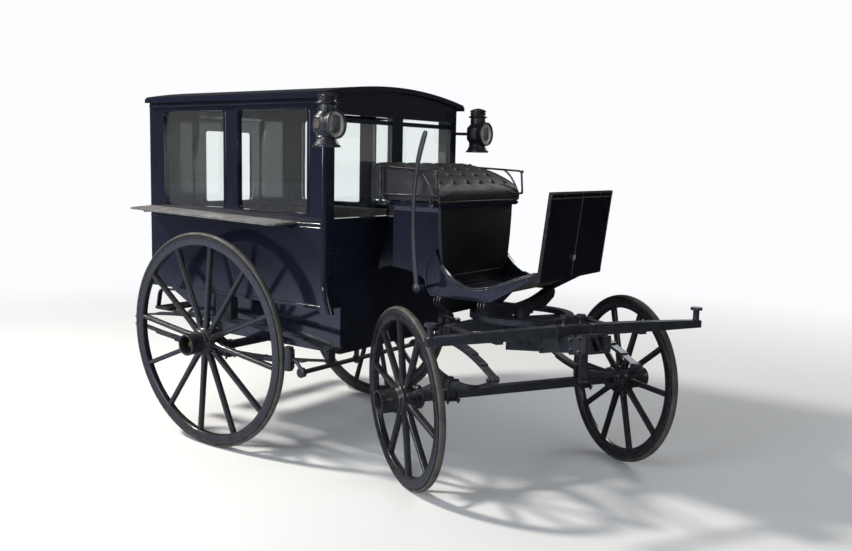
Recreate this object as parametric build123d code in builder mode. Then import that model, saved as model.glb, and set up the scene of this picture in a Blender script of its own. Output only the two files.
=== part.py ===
from build123d import *
import os
from math import asin, cos, degrees, pi, radians, sin, sqrt, tan

os.makedirs("parts", exist_ok=True)

# Horse-drawn coach of the private omnibus kind: a glazed cabin with a rear door, a driver's box in
# front, and a fore-carriage that turns on a king pin and stands turned to the right, as parked.
# Millimetres. +Z is up, the coach faces -Y, and its right side is -X.
# Places along the coach are measured back from the king pin, so a negative one lies ahead of it.

# Driving dimensions, whole coach
wheelbase = 1592
king_pin_y = -826
rest_steer = -30

# Wheels
rear_wheel_dia = 1220
front_wheel_dia = 922
rear_track = 1442
front_track = 1268
camber = 2.5
tyre_width = 36
tyre_depth = 26
felloe_depth = 46
rear_spokes = 12
front_spokes = 10
nave_dia = 160
nave_inner = 88
nave_outer = 62
band_dia = 120
band_reach = 142
band_thick = 8
arm_dia = 44
nut_size = 50
running_gap = 0.3

# Cabin
cabin_half = 604
cabin_ahead = 756
cabin_behind = 656
wall = 34
sill_z = 850
eave_z = 1948
roof_rise = 62
roof_thick = 26
roof_overhang = 24
moulding = 5
corner_round = 24
window_round = 18
glass_thick = 5
tub_half = 456
tub_bottom = 590
tub_wall = 24

# Driver's box and footboard
boot_half = 318
boot_front = 302
boot_bottom = 1030
boot_top = 1402
boot_arch_radius = 500
boot_arch_top = 1076
seat_half = 376
seat_front = 266
seat_clear = 136
seat_board = 22
cushion_half = 395
foot_half = 334
dash_half = 337
dash_low = 1070
dash_high = 1502
dash_lean = 52
bolster_top = 950

# Fore-carriage
bar_half = 760
bar_ahead = 478
bar_bottom = 826
bar_end = 36
bar_middle = 54
ring_outer = 270
ring_inner = 226
ring_z = 850
ring_thick = 14
king_pin_dia = 32

axle_r_z = rear_wheel_dia / 2
axle_f_z = front_wheel_dia / 2
rear_axle_y = wheelbase
cabin_front = rear_axle_y - cabin_ahead
cabin_rear = rear_axle_y + cabin_behind
cabin_mid = (cabin_front + cabin_rear) / 2
seat_back = cabin_front - seat_clear
tilt = radians(camber)

coach = Plane(origin=(0, king_pin_y, 0), x_dir=(1, 0, 0), z_dir=(0, 0, 1))
gear = Plane(
    origin=(0, king_pin_y, 0),
    x_dir=(cos(radians(rest_steer)), sin(radians(rest_steer)), 0),
    z_dir=(0, 0, 1),
)


def level(frame, z):
    """Horizontal plane at height z: sketch x runs to the left side, sketch y runs back."""
    return frame.offset(z)


def side(frame, x):
    """Upright lengthwise plane at x: sketch x runs back, sketch y runs up."""
    return Plane(origin=frame.from_local_coords((x, 0, 0)), x_dir=frame.y_dir, z_dir=frame.x_dir)


def front(frame, y):
    """Upright crosswise plane at y: sketch x runs to the left side, sketch y runs up."""
    return Plane(origin=frame.from_local_coords((0, y, 0)), x_dir=frame.x_dir, z_dir=-frame.y_dir)


# Everything above the roof's underside, taken off the tops of the walls
arch_half = cabin_half + roof_overhang + 72
arch_foot = eave_z - 14
high = eave_z + 400
with BuildSketch(front(coach, cabin_rear + 100)) as above_roof:
    with BuildLine():
        ThreePointArc((-arch_half, arch_foot), (0, eave_z + roof_rise), (arch_half, arch_foot))
        Polyline((arch_half, arch_foot), (arch_half, high), (-arch_half, high), (-arch_half, arch_foot))
    make_face()

# Roof with a drip rail along each side
roof_half = cabin_half + roof_overhang
rail_high = 24
with BuildPart() as roof:
    with BuildSketch(front(coach, cabin_rear)):
        with BuildLine():
            under = ThreePointArc((-arch_half, arch_foot), (0, eave_z + roof_rise), (arch_half, arch_foot))
            over = ThreePointArc(
                (-arch_half, arch_foot + roof_thick),
                (0, eave_z + roof_rise + roof_thick),
                (arch_half, arch_foot + roof_thick),
            )
            Line(under @ 0, over @ 0)
            Line(under @ 1, over @ 1)
        make_face()
        with Locations((0, eave_z)):
            Rectangle(2 * roof_half, 4 * roof_rise, mode=Mode.INTERSECT)
        for hand in (-1, 1):
            with Locations((hand * (roof_half + 3), eave_z + 6)):
                Rectangle(14, rail_high)
    extrude(amount=cabin_rear - cabin_front + roof_overhang)
roof.part.label = "roof"
export_step(roof.part, "parts/roof.step")

# Side walls: two windows with raised frames, belt and sill mouldings, and a front edge that is
# rounded and sweeps forward at its foot
window_low = 1350
window_high = 1890
belt_low = 1276
belt_high = 1297
window_wide = 524
pillar_front = 122
pillar_rear = 128
frame_wide = 14
toe = 46
toe_low = 22
window_height = window_high - window_low
window_mid = (window_high + window_low) / 2
side_windows = (cabin_front + pillar_front + window_wide / 2, cabin_rear - pillar_rear - window_wide / 2)
for hand, name in ((-1, "right"), (1, "left")):
    with BuildPart() as side_wall:
        with BuildSketch(side(coach, hand * (cabin_half - wall))):
            with BuildLine():
                Polyline((cabin_rear, sill_z), (cabin_rear, high), (cabin_front, high), (cabin_front, 1060))
                sweep_end = (cabin_front - toe, sill_z - toe_low)
                TangentArc((cabin_front, 1060), sweep_end, tangent=(0, -1))
                Polyline(
                    sweep_end,
                    (cabin_front + 20, sill_z - toe_low),
                    (cabin_front + 44, sill_z),
                    (cabin_rear, sill_z),
                )
            make_face()
            with Locations(*[(middle, window_mid) for middle in side_windows]):
                RectangleRounded(window_wide, window_height, window_round, mode=Mode.SUBTRACT)
        extrude(amount=hand * wall)
        outer_face = side_wall.faces().sort_by(Axis.X)[0 if hand < 0 else -1]
        fillet(
            outer_face.edges().filter_by(
                lambda edge: edge.center().Y < king_pin_y + cabin_front + 1 and edge.center().Z > sill_z
            ),
            corner_round,
        )
        extrude(above_roof.sketch, amount=cabin_rear + 200, mode=Mode.SUBTRACT)
        with BuildSketch(side(coach, hand * cabin_half)):
            for z, thick in ((sill_z + 10, 18), (belt_low, 8), (belt_high, 8), (window_high + 36, 12)):
                with Locations((cabin_mid + corner_round / 2, z)):
                    Rectangle(cabin_rear - cabin_front - corner_round, thick)
            with Locations(*[(middle, window_mid) for middle in side_windows]):
                RectangleRounded(
                    window_wide + 2 * frame_wide, window_height + 2 * frame_wide, window_round + frame_wide
                )
                RectangleRounded(window_wide, window_height, window_round, mode=Mode.SUBTRACT)
        extrude(amount=hand * moulding, taper=25)
    side_wall.part.label = f"side_wall_{name}"
    export_step(side_wall.part, f"parts/side_wall_{name}.step")

    with BuildPart() as side_glass:
        with BuildSketch(side(coach, hand * (cabin_half - wall / 2 - glass_thick / 2))):
            with Locations(*[(middle, window_mid) for middle in side_windows]):
                RectangleRounded(window_wide, window_height, window_round)
        extrude(amount=hand * glass_thick)
    side_glass.part.label = f"side_glass_{name}"
    export_step(side_glass.part, f"parts/side_glass_{name}.step")

# Front wall: two sash windows a little lowered, an arched cornice bead, a belt moulding, the pair of
# beads that curve up to the driver's box, and the wheel arch sunk below them
between_walls = 2 * (cabin_half - wall)
pillar_half = 50
front_glass_outer = 528
front_pane_low = 1325
front_pane_high = eave_z - 82
sash_top = front_pane_high - 16
sash_rail = 24
arch_radius = 443
arch_z = 625
arch_depth = 14
bead = 7
cornice_z = 1914
front_pane = front_glass_outer - pillar_half
front_windows = [hand * (pillar_half + front_pane / 2) for hand in (-1, 1)]
with BuildPart() as front_wall:
    with BuildSketch(front(coach, cabin_front + wall)):
        with Locations((0, (sill_z + high) / 2)):
            Rectangle(between_walls, high - sill_z)
        with Locations(*[(x, (front_pane_low + front_pane_high) / 2) for x in front_windows]):
            Rectangle(front_pane, front_pane_high - front_pane_low, mode=Mode.SUBTRACT)
    extrude(amount=wall)
    extrude(above_roof.sketch, amount=cabin_rear + 200, mode=Mode.SUBTRACT)
    with BuildSketch(front(coach, cabin_front + wall / 2 + 8)):
        with Locations(*[(x, sash_top - sash_rail / 2) for x in front_windows]):
            Rectangle(front_pane, sash_rail)
    extrude(amount=16)
    with BuildSketch(front(coach, cabin_front)):
        with Locations((0, arch_z)):
            Circle(arch_radius)
    extrude(amount=-arch_depth, mode=Mode.SUBTRACT)
    with BuildSketch(front(coach, cabin_front)):
        for hand in (-1, 1):
            with Locations((hand * 325, belt_high - 2)):
                Rectangle(450, bead)
            with Locations(*[(hand * 480, z) for z in (sill_z + 6, sill_z + 28)]):
                Rectangle(120, bead)
        with BuildLine():
            Polyline((-560, cornice_z - 21), (-560, cornice_z - 12))
            ThreePointArc((-560, cornice_z - 12), (0, cornice_z + 9), (560, cornice_z - 12))
            Polyline((560, cornice_z - 12), (560, cornice_z - 21))
            ThreePointArc((560, cornice_z - 21), (0, cornice_z), (-560, cornice_z - 21))
        make_face()
        for hand in (-1, 1):
            for drop in (0, 18):
                with BuildLine():
                    low = 1168 - drop
                    Line((hand * 560, low - bead), (hand * 560, low))
                    Line((hand * 560, low), (hand * 250, low))
                    ThreePointArc((hand * 250, low), (hand * 172, low + 20), (hand * 124, low + 60))
                    Line((hand * 124, low + 60), (hand * 117, low + 55))
                    ThreePointArc((hand * 117, low + 55), (hand * 168, low + 13), (hand * 250, low - bead))
                    Line((hand * 250, low - bead), (hand * 560, low - bead))
                make_face()
    extrude(amount=moulding)
front_wall.part.label = "front_wall"
export_step(front_wall.part, "parts/front_wall.step")

with BuildPart() as front_glass:
    with BuildSketch(front(coach, cabin_front + wall / 2 + glass_thick / 2)):
        with Locations(*[(x, (front_pane_low + sash_top - sash_rail) / 2) for x in front_windows]):
            Rectangle(front_pane, sash_top - sash_rail - front_pane_low)
    extrude(amount=glass_thick)
front_glass.part.label = "front_glass"
export_step(front_glass.part, "parts/front_glass.step")

# Rear wall around the doorway
door_half = 290
door_high = 1893
with BuildPart() as rear_wall:
    with BuildSketch(front(coach, cabin_rear)):
        with Locations((0, (sill_z + high) / 2)):
            Rectangle(between_walls, high - sill_z)
        with Locations((0, (sill_z + door_high) / 2)):
            Rectangle(2 * door_half, door_high - sill_z, mode=Mode.SUBTRACT)
    extrude(amount=wall)
    extrude(above_roof.sketch, amount=cabin_rear + 200, mode=Mode.SUBTRACT)
    with BuildSketch(front(coach, cabin_rear)):
        for hand in (-1, 1):
            for z in (belt_low, belt_high):
                with Locations((hand * (cabin_half - wall + door_half + 30) / 2, z)):
                    Rectangle(cabin_half - wall - door_half - 40, bead + 1)
    extrude(amount=-moulding)
rear_wall.part.label = "rear_wall"
export_step(rear_wall.part, "parts/rear_wall.step")

# Rear door, hung on the left, with a window, a raised lower panel and a turning handle
door_gap = 8
hinge_x = door_half + 4
hinge_y = cabin_rear + 12
pin_radius = 7
hinge_high = 70
door_low = sill_z + door_gap
door_top = door_high - door_gap
pane_half = 200
pane_high = door_top - 90
handle_x = -door_half + 48
handle_z = 1225
with BuildPart() as door:
    with BuildSketch(front(coach, cabin_rear)):
        with Locations((0, (door_low + door_top) / 2)):
            Rectangle(2 * (door_half - door_gap), door_top - door_low)
        with Locations((0, (window_low + pane_high) / 2)):
            RectangleRounded(2 * pane_half, pane_high - window_low, window_round, mode=Mode.SUBTRACT)
    extrude(amount=wall)
    with BuildSketch(front(coach, cabin_rear)):
        with Locations((0, (window_low + pane_high) / 2)):
            RectangleRounded(
                2 * (pane_half + frame_wide),
                pane_high - window_low + 2 * frame_wide,
                window_round + frame_wide,
            )
            RectangleRounded(2 * pane_half, pane_high - window_low, window_round, mode=Mode.SUBTRACT)
        with Locations((0, (door_low + belt_low) / 2)):
            Rectangle(2 * pane_half, belt_low - door_low - 120)
    extrude(amount=-moulding, taper=25)
    with BuildSketch(front(coach, cabin_rear + 32)):
        with Locations((handle_x, handle_z)):
            Circle(8)
    extrude(amount=32)
    with BuildSketch(front(coach, cabin_rear + 40)):
        with Locations((handle_x + 40, handle_z)):
            RectangleRounded(110, 18, 8)
    extrude(amount=10)
    for z in (930, 1300, 1790):
        with BuildSketch(level(coach, z)):
            with Locations((hinge_x, hinge_y)):
                Circle(pin_radius)
            with Locations((hinge_x - 22, cabin_rear + 4)):
                Rectangle(36, 8)
        extrude(amount=hinge_high)
door.part.label = "rear_door"
export_step(door.part, "parts/rear_door.step")

with BuildPart() as door_glass:
    with BuildSketch(front(coach, cabin_rear - wall / 2 + glass_thick / 2)):
        with Locations((0, (window_low + pane_high) / 2)):
            RectangleRounded(2 * pane_half, pane_high - window_low, window_round)
    extrude(amount=glass_thick)
door_glass.part.label = "door_glass"
export_step(door_glass.part, "parts/door_glass.step")

# Floor frame and the footwell that hangs between its sills
tub_rise_y = rear_axle_y + 188
with BuildPart() as tub:
    with BuildSketch(side(coach, -tub_half)):
        with BuildLine():
            Polyline(
                (cabin_front + wall, sill_z),
                (cabin_front + arch_depth, sill_z),
                (cabin_front + arch_depth, tub_bottom),
                (tub_rise_y, tub_bottom),
                (cabin_rear - 40, sill_z - 60),
                (cabin_rear, sill_z - 40),
                (cabin_rear, sill_z),
                (cabin_front + wall, sill_z),
            )
        make_face()
    extrude(amount=2 * tub_half)
    with BuildSketch(side(coach, -tub_half + tub_wall)):
        with BuildLine():
            Polyline(
                (cabin_front + arch_depth + tub_wall, sill_z),
                (cabin_front + arch_depth + tub_wall, tub_bottom + tub_wall),
                (tub_rise_y - 10, tub_bottom + tub_wall),
                (cabin_rear - wall - 20, sill_z - 20),
                (cabin_rear - wall - 20, sill_z),
                (cabin_front + arch_depth + tub_wall, sill_z),
            )
        make_face()
    extrude(amount=2 * (tub_half - tub_wall), mode=Mode.SUBTRACT)
    with BuildSketch(level(coach, sill_z)):
        with Locations((0, cabin_mid - door_gap / 2)):
            Rectangle(between_walls, cabin_rear - cabin_front - 2 * wall - door_gap)
        with Locations((0, cabin_mid)):
            Rectangle(
                2 * (tub_half - tub_wall),
                cabin_rear - cabin_front - 2 * wall - 60,
                mode=Mode.SUBTRACT,
            )
    extrude(amount=22)
tub.part.label = "floor_and_footwell"
export_step(tub.part, "parts/floor_and_footwell.step")

# Benches along the two sides
bench_depth = 330
bench_high = 1190
for hand, name in ((-1, "right"), (1, "left")):
    with BuildPart() as bench:
        with BuildSketch(front(coach, cabin_rear - wall - door_gap)):
            with BuildLine():
                outer = hand * (cabin_half - wall - 1)
                inner = hand * (cabin_half - wall - bench_depth)
                Polyline(
                    (outer, sill_z + 22),
                    (outer, 1330),
                    (outer - hand * 60, 1330),
                    (outer - hand * 75, bench_high),
                    (inner, bench_high),
                    (inner, bench_high - 90),
                    (inner + hand * 40, bench_high - 90),
                    (inner + hand * 40, sill_z + 22),
                    (outer, sill_z + 22),
                )
            make_face()
        extrude(amount=cabin_rear - cabin_front - 2 * wall - 2 * door_gap)
    bench.part.label = f"bench_{name}"
    export_step(bench.part, f"parts/bench_{name}.step")

# Driver's box, drawn in towards the cabin, its foot cut to an arch over the turning wheels
shoulder = cabin_front - 229
band_deep = 26
with BuildPart() as boot:
    for z, neck in ((boot_bottom, 160), (boot_top, 56)):
        with BuildSketch(level(coach, z)):
            Polygon(
                (-boot_half, boot_front),
                (boot_half, boot_front),
                (boot_half, shoulder),
                (neck, cabin_front),
                (-neck, cabin_front),
                (-boot_half, shoulder),
                align=None,
            )
    loft(ruled=True)
    with BuildSketch(level(coach, boot_top)):
        with Locations((0, (seat_front + seat_back) / 2)):
            Rectangle(2 * seat_half, seat_back - seat_front)
    extrude(amount=seat_board)
    with BuildSketch(level(coach, boot_top)):
        with Locations((0, (boot_front + shoulder) / 2 + 4)):
            Rectangle(2 * (boot_half + 9), shoulder - boot_front - 8)
    extrude(amount=-band_deep, taper=12)
    with BuildSketch(side(coach, -seat_half)):
        with Locations((shoulder, boot_arch_top - boot_arch_radius)):
            Circle(boot_arch_radius)
    extrude(amount=2 * seat_half, mode=Mode.SUBTRACT)
boot.part.label = "driver_box"
export_step(boot.part, "parts/driver_box.step")

# Leather panel on the front of the box, its sides drawn in towards the foot
with BuildPart() as seat_panel:
    with BuildSketch(front(coach, boot_front)):
        with BuildLine():
            Line((-366, boot_top), (366, boot_top))
            ThreePointArc((366, boot_top), (336, 1200), (240, 1042))
            Line((240, 1042), (-240, 1042))
            ThreePointArc((-240, 1042), (-336, 1200), (-366, boot_top))
        make_face()
    extrude(amount=18)
seat_panel.part.label = "seat_front_panel"
export_step(seat_panel.part, "parts/seat_front_panel.step")

# Wedge cushion
cushion_z = boot_top + seat_board
with BuildPart() as cushion:
    with BuildSketch(side(coach, -cushion_half)):
        with BuildLine():
            Polyline((seat_front - 4, cushion_z), (seat_back, cushion_z), (seat_back, cushion_z + 175))
            ThreePointArc(
                (seat_back, cushion_z + 175),
                (seat_back - 24, cushion_z + 200),
                (seat_back - 80, cushion_z + 200),
            )
            ThreePointArc(
                (seat_back - 80, cushion_z + 200),
                (seat_back - 280, cushion_z + 152),
                (seat_front + 24, cushion_z + 86),
            )
            ThreePointArc(
                (seat_front + 24, cushion_z + 86),
                (seat_front - 8, cushion_z + 44),
                (seat_front - 4, cushion_z),
            )
        make_face()
    extrude(amount=2 * cushion_half)
cushion.part.label = "driver_cushion"
export_step(cushion.part, "parts/driver_cushion.step")

# Iron rails at the two ends of the seat: a bent frame, a curved strap inside it, and a baluster
rail_x = 418
rail_thick = 12
rail_low = 1462
rail_top = 1596
rail_mid = (rail_low + rail_top) / 2
baluster_y = seat_back - 83
with BuildPart() as rails:
    for hand in (-1, 1):
        with BuildSketch(side(coach, hand * rail_x - rail_thick / 2)):
            with BuildLine():
                FilletPolyline(
                    (baluster_y, rail_top + 8),
                    (268, rail_top - 8),
                    (258, rail_low),
                    (baluster_y, rail_low),
                    radius=16,
                )
                offset(amount=6, side=Side.BOTH)
            make_face()
            with BuildLine():
                ThreePointArc((372, rail_top - 6), (312, rail_mid + 7), (278, rail_low))
                Line((278, rail_low), (292, rail_low))
                ThreePointArc((292, rail_low), (325, rail_mid - 2), (388, rail_top - 6))
                Line((388, rail_top - 6), (372, rail_top - 6))
            make_face()
            Polygon(
                (baluster_y - 8, rail_top + 26),
                (baluster_y + 8, rail_top + 26),
                (baluster_y + 8, 1446),
                (baluster_y + 24, boot_top),
                (baluster_y - 78, boot_top),
                (baluster_y - 14, 1440),
                align=None,
            )
            with Locations((300, (rail_low + boot_top) / 2)):
                Rectangle(14, rail_low - boot_top)
        extrude(amount=rail_thick)
        with BuildSketch(level(coach, boot_top + 4)):
            for y in (300, baluster_y - 20):
                with Locations((hand * (seat_half + rail_x + 2) / 2, y)):
                    Rectangle(rail_x + 2 - seat_half, 36)
        extrude(amount=12)
rails.part.label = "seat_rails"
export_step(rails.part, "parts/seat_rails.step")

# Footboard: floor, rising toe board, and two side brackets that sweep from the box to the dash,
# each with a raised edge
bracket = 16
bracket_edge = 11
toe_y = -262
toe_z = 1092


def bracket_outline():
    """Side view of a footboard bracket."""
    with BuildSketch() as view:
        with BuildLine():
            Polyline((toe_y, toe_z), (toe_y, toe_z + 30), (-70, 1052))
            ThreePointArc((-70, 1052), (110, 1014), (322, 1188))
            ThreePointArc((322, 1188), (385, 1076), (343, bolster_top))
            Polyline((343, bolster_top), (-5, bolster_top), (toe_y, toe_z))
        make_face()
    return view.sketch


with BuildPart() as footboard:
    with BuildSketch(side(coach, -boot_half)):
        Polygon(
            (boot_front - running_gap, 1000),
            (20, 975),
            (toe_y, toe_z + 7),
            (toe_y, toe_z + 25),
            (24, 993),
            (boot_front - running_gap, 1018),
            align=None,
        )
    extrude(amount=2 * boot_half)
    for hand in (-1, 1):
        with BuildSketch(side(coach, hand * boot_half)):
            add(bracket_outline())
        extrude(amount=hand * bracket)
        with BuildSketch(side(coach, hand * (boot_half + bracket))):
            add(bracket_outline())
            offset(bracket_outline(), amount=-bracket_edge, mode=Mode.SUBTRACT)
        extrude(amount=hand * 4)
footboard.part.label = "footboard"
export_step(footboard.part, "parts/footboard.step")

# Dashboard: leather on an iron frame with a double top rail, corner braces and a middle strut
dash_tall = sqrt((dash_high - dash_low) ** 2 + dash_lean**2)
lean = dash_lean / dash_tall
rise = (dash_high - dash_low) / dash_tall
dash_face = Plane(
    origin=coach.from_local_coords((0, toe_y - 8, dash_low)),
    x_dir=coach.x_dir,
    z_dir=coach.y_dir * -rise + Vector(0, 0, -lean),
)
iron = 12
leather = 6
dash_foot = 52
brace_low = 0.63 * dash_tall
brace_in = 190
with BuildPart() as dash:
    with BuildSketch(dash_face):
        with Locations((0, dash_tall / 2)):
            Rectangle(2 * dash_half, dash_tall)
    extrude(amount=-leather)
    with BuildSketch(dash_face):
        with Locations((0, dash_tall / 2)):
            Rectangle(2 * dash_half, dash_tall)
            Rectangle(2 * (dash_half - iron), dash_tall - 2 * iron, mode=Mode.SUBTRACT)
        with Locations((0, dash_tall - 2.5 * iron)):
            Rectangle(2 * dash_half - 4, iron / 2)
        with Locations((0, dash_tall / 2)):
            Rectangle(iron * 0.7, dash_tall - iron)
        for hand in (-1, 1):
            Polygon(
                (hand * (dash_half - 2), brace_low),
                (hand * (dash_half - 2), brace_low - iron),
                (hand * (brace_in - iron), dash_tall - 6),
                (hand * brace_in, dash_tall - 6),
                align=None,
            )
    extrude(amount=7)
    with BuildSketch(side(coach, -dash_half)):
        Polygon(
            (toe_y, dash_low),
            (toe_y - 8, dash_low),
            (toe_y - 8 - dash_foot * lean / rise, dash_low + dash_foot),
            (toe_y, dash_low + dash_foot),
            align=None,
        )
    extrude(amount=2 * dash_half)
dash.part.label = "dashboard"
export_step(dash.part, "parts/dashboard.step")

# Mudguard boards over the rear wheels, notched round the belt moulding
guard_wide = 222
guard_front = rear_axle_y - 597
guard_rear = rear_axle_y + 668
guard_thick = 10
for hand, name in ((-1, "right"), (1, "left")):
    with BuildPart() as guard:
        with BuildSketch(side(coach, hand * cabin_half)):
            Polygon(
                (guard_front, 1302 - guard_thick),
                (guard_rear, 1336 - guard_thick),
                (guard_rear, 1336),
                (guard_front, 1302),
                align=None,
            )
        extrude(amount=hand * guard_wide)
        with BuildSketch(side(coach, hand * cabin_half)):
            with Locations((cabin_mid, belt_high)):
                Rectangle(2 * (cabin_rear - cabin_front), 9)
        extrude(amount=hand * moulding, mode=Mode.SUBTRACT)
        with BuildSketch(level(coach, 1200)):
            Polygon(
                (hand * cabin_half, guard_front + 40),
                (hand * (cabin_half + guard_wide - 30), guard_front),
                (hand * (cabin_half + guard_wide), guard_front + 30),
                (hand * (cabin_half + guard_wide), guard_rear - 115),
                (hand * (cabin_half + guard_wide - 30), guard_rear - 90),
                (hand * cabin_half, guard_rear - 20),
                align=None,
            )
        extrude(amount=300, mode=Mode.INTERSECT)
    guard.part.label = f"mudguard_{name}"
    export_step(guard.part, f"parts/mudguard_{name}.step")

# Lamps outboard of the front corners: a stacked chimney on a round body, a round front and a base ring
lamp_x = 690
lamp_y = cabin_front - 91
lamp_z = 1805
lens_radius = 72
for hand, name in ((-1, "right"), (1, "left")):
    with BuildPart() as lamp:
        with BuildSketch(side(coach, hand * lamp_x)):
            with BuildLine():
                Polyline(
                    (lamp_y, lamp_z - 113),
                    (lamp_y + 70, lamp_z - 113),
                    (lamp_y + 70, lamp_z - 103),
                    (lamp_y + 50, lamp_z - 69),
                    (lamp_y + 67, lamp_z - 33),
                    (lamp_y + 67, lamp_z + 33),
                    (lamp_y + 44, lamp_z + 61),
                    (lamp_y + 44, lamp_z + 97),
                    (lamp_y + 58, lamp_z + 101),
                    (lamp_y + 58, lamp_z + 111),
                    (lamp_y + 44, lamp_z + 117),
                    (lamp_y + 50, lamp_z + 145),
                    (lamp_y, lamp_z + 157),
                    (lamp_y, lamp_z - 113),
                )
            make_face()
        revolve(axis=Axis(coach.from_local_coords((hand * lamp_x, lamp_y, 0)), (0, 0, 1)))
        with BuildSketch(front(coach, lamp_y - 69)):
            with Locations((hand * lamp_x, lamp_z)):
                Circle(lens_radius)
        extrude(amount=-60, taper=12)
        with BuildSketch(level(coach, lamp_z - 11)):
            Polygon(
                (hand * cabin_half, cabin_front + 46),
                (hand * cabin_half, cabin_front + 26),
                (hand * (cabin_half + 30), cabin_front + 24),
                (hand * (lamp_x - 10), lamp_y),
                (hand * (lamp_x + 10), lamp_y + 20),
                (hand * (cabin_half + 40), cabin_front + 40),
                align=None,
            )
        extrude(amount=22)
    lamp.part.label = f"lamp_{name}"
    export_step(lamp.part, f"parts/lamp_{name}.step")

# Brake lever on the right of the driver's box
lever_x = -450
lever_pivot = (350, 1000)
with BuildPart() as lever:
    with BuildSketch(side(coach, lever_x - 7)):
        with BuildLine():
            ThreePointArc((300, 1780), (376, 1440), (340, 1000))
            Line((340, 1000), (368, 1000))
            ThreePointArc((368, 1000), (402, 1440), (324, 1784))
            Line((324, 1784), (300, 1780))
        make_face()
        with Locations(lever_pivot):
            Circle(24)
    extrude(amount=14)
    with BuildSketch(side(coach, lever_x + 7)):
        with Locations(lever_pivot):
            Circle(9)
    extrude(amount=-lever_x - 7 - foot_half)
lever.part.label = "brake_lever"
export_step(lever.part, "parts/brake_lever.step")

# Brake shaft under the footwell, with hangers, arms and the blocks that face the rear tyres
block_x = 735
shaft_y = cabin_front + 34
shaft_z = tub_bottom - 52
block_gap = 6
block_y = rear_axle_y - axle_r_z - 44
with BuildPart() as brake:
    with BuildSketch(side(coach, -block_x)):
        with Locations((shaft_y, shaft_z)):
            Circle(13)
    extrude(amount=2 * block_x)
    for x in (-300, 300):
        with BuildSketch(side(coach, x - 9)):
            with Locations((shaft_y, (shaft_z + tub_bottom) / 2)):
                Rectangle(34, tub_bottom - shaft_z)
        extrude(amount=18)
    for hand in (-1, 1):
        with BuildSketch(side(coach, hand * block_x - 12)):
            Polygon(
                (shaft_y - 20, shaft_z - 20),
                (shaft_y + 20, shaft_z - 20),
                (block_y + 4, axle_r_z - 40),
                (block_y + 4, axle_r_z + 10),
                (shaft_y - 20, shaft_z + 20),
                align=None,
            )
        extrude(amount=24)
        with BuildSketch(side(coach, hand * block_x - 22)):
            with Locations((block_y, axle_r_z - 12)):
                Rectangle(80, 166)
            with Locations((rear_axle_y, axle_r_z)):
                Circle(axle_r_z + block_gap, mode=Mode.SUBTRACT)
        extrude(amount=44)
brake.part.label = "brake_gear"
export_step(brake.part, "parts/brake_gear.step")

# Rear axle, cranked down to lie on the lower halves of its springs; a nut ends each arm
spring_x = 590
hub_x_rear = rear_track / 2 + axle_r_z * sin(tilt)
hub_x_front = front_track / 2 + axle_f_z * sin(tilt)
bed_low = axle_r_z - 70
bed_thick = 40
bed_end = hub_x_rear - nave_inner - 8
nut_start = nave_outer + 14
with BuildPart() as rear_axle:
    with BuildSketch(front(coach, rear_axle_y + bed_thick / 2)):
        Polygon(
            (-bed_end, axle_r_z + 22),
            (-bed_end, axle_r_z - 22),
            (-spring_x - 28, bed_low),
            (spring_x + 28, bed_low),
            (bed_end, axle_r_z - 22),
            (bed_end, axle_r_z + 22),
            (spring_x - 8, bed_low + bed_thick),
            (-spring_x + 8, bed_low + bed_thick),
            align=None,
        )
    extrude(amount=bed_thick)
    for hand in (-1, 1):
        out = (hand * cos(tilt), 0, -sin(tilt))
        hub = coach.from_local_coords((hand * hub_x_rear, rear_axle_y, axle_r_z))
        with BuildSketch(Plane(origin=hub - Vector(*out) * (nave_inner + 22), z_dir=out)):
            Circle(arm_dia / 2 - running_gap)
        extrude(amount=nave_inner + 22 + nut_start)
        with BuildSketch(Plane(origin=hub + Vector(*out) * nut_start, z_dir=out)):
            RegularPolygon(nut_size / 2, 6)
        extrude(amount=24)
rear_axle.part.label = "rear_axle"
export_step(rear_axle.part, "parts/rear_axle.step")

# Full-elliptic side springs of the rear axle
leaf = 8
pad = 6
rear_reach = 790
rear_high = axle_r_z + 88
rear_low = bed_low - pad
eye_radius = 18


def half_spring(middle_y, middle_z, reach, sag, rise):
    """Three nested leaves of one half: rise is 1 for the arched upper half, -1 for the lower."""
    radius = (reach**2 + sag**2) / (2 * sag)
    centre = (middle_y, middle_z - rise * radius)
    with BuildSketch() as half:
        for count in range(3):
            spread = degrees(asin((reach * (1 - 0.22 * count)) / radius))
            with BuildLine():
                inner_edge = CenterArc(centre, radius + count * leaf, rise * 90 - spread, 2 * spread)
                outer_edge = CenterArc(centre, radius + (count + 1) * leaf, rise * 90 - spread, 2 * spread)
                Line(inner_edge @ 0, outer_edge @ 0)
                Line(inner_edge @ 1, outer_edge @ 1)
            make_face()
    return half.sketch


rear_eye_z = (rear_high + rear_low) / 2
rear_sag = (rear_high - rear_low) / 2 - 26
for hand, name in ((-1, "right"), (1, "left")):
    with BuildPart() as spring:
        with BuildSketch(side(coach, hand * spring_x - 22)):
            add(half_spring(rear_axle_y, rear_high, rear_reach, rear_sag, 1))
            add(half_spring(rear_axle_y, rear_low, rear_reach, rear_sag, -1))
            with Locations((rear_axle_y, rear_low - 1)):
                Rectangle(96, 2 * (pad + 1))
        extrude(amount=44)
        with BuildSketch(side(coach, hand * spring_x - 26)):
            for y in (rear_axle_y - rear_reach, rear_axle_y + rear_reach):
                with Locations((y, rear_eye_z)):
                    RectangleRounded(30, 84, 13)
        extrude(amount=52)
        with BuildSketch(side(coach, hand * spring_x - 27)):
            with Locations((rear_axle_y, rear_low - 3 * leaf - 4)):
                Rectangle(96, 14)
            with Locations((rear_axle_y, (rear_high + 2 * leaf + sill_z) / 2)):
                Rectangle(120, sill_z - rear_high - 2 * leaf)
        extrude(amount=54)
    spring.part.label = f"rear_spring_{name}"
    export_step(spring.part, f"parts/rear_spring_{name}.step")

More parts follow.
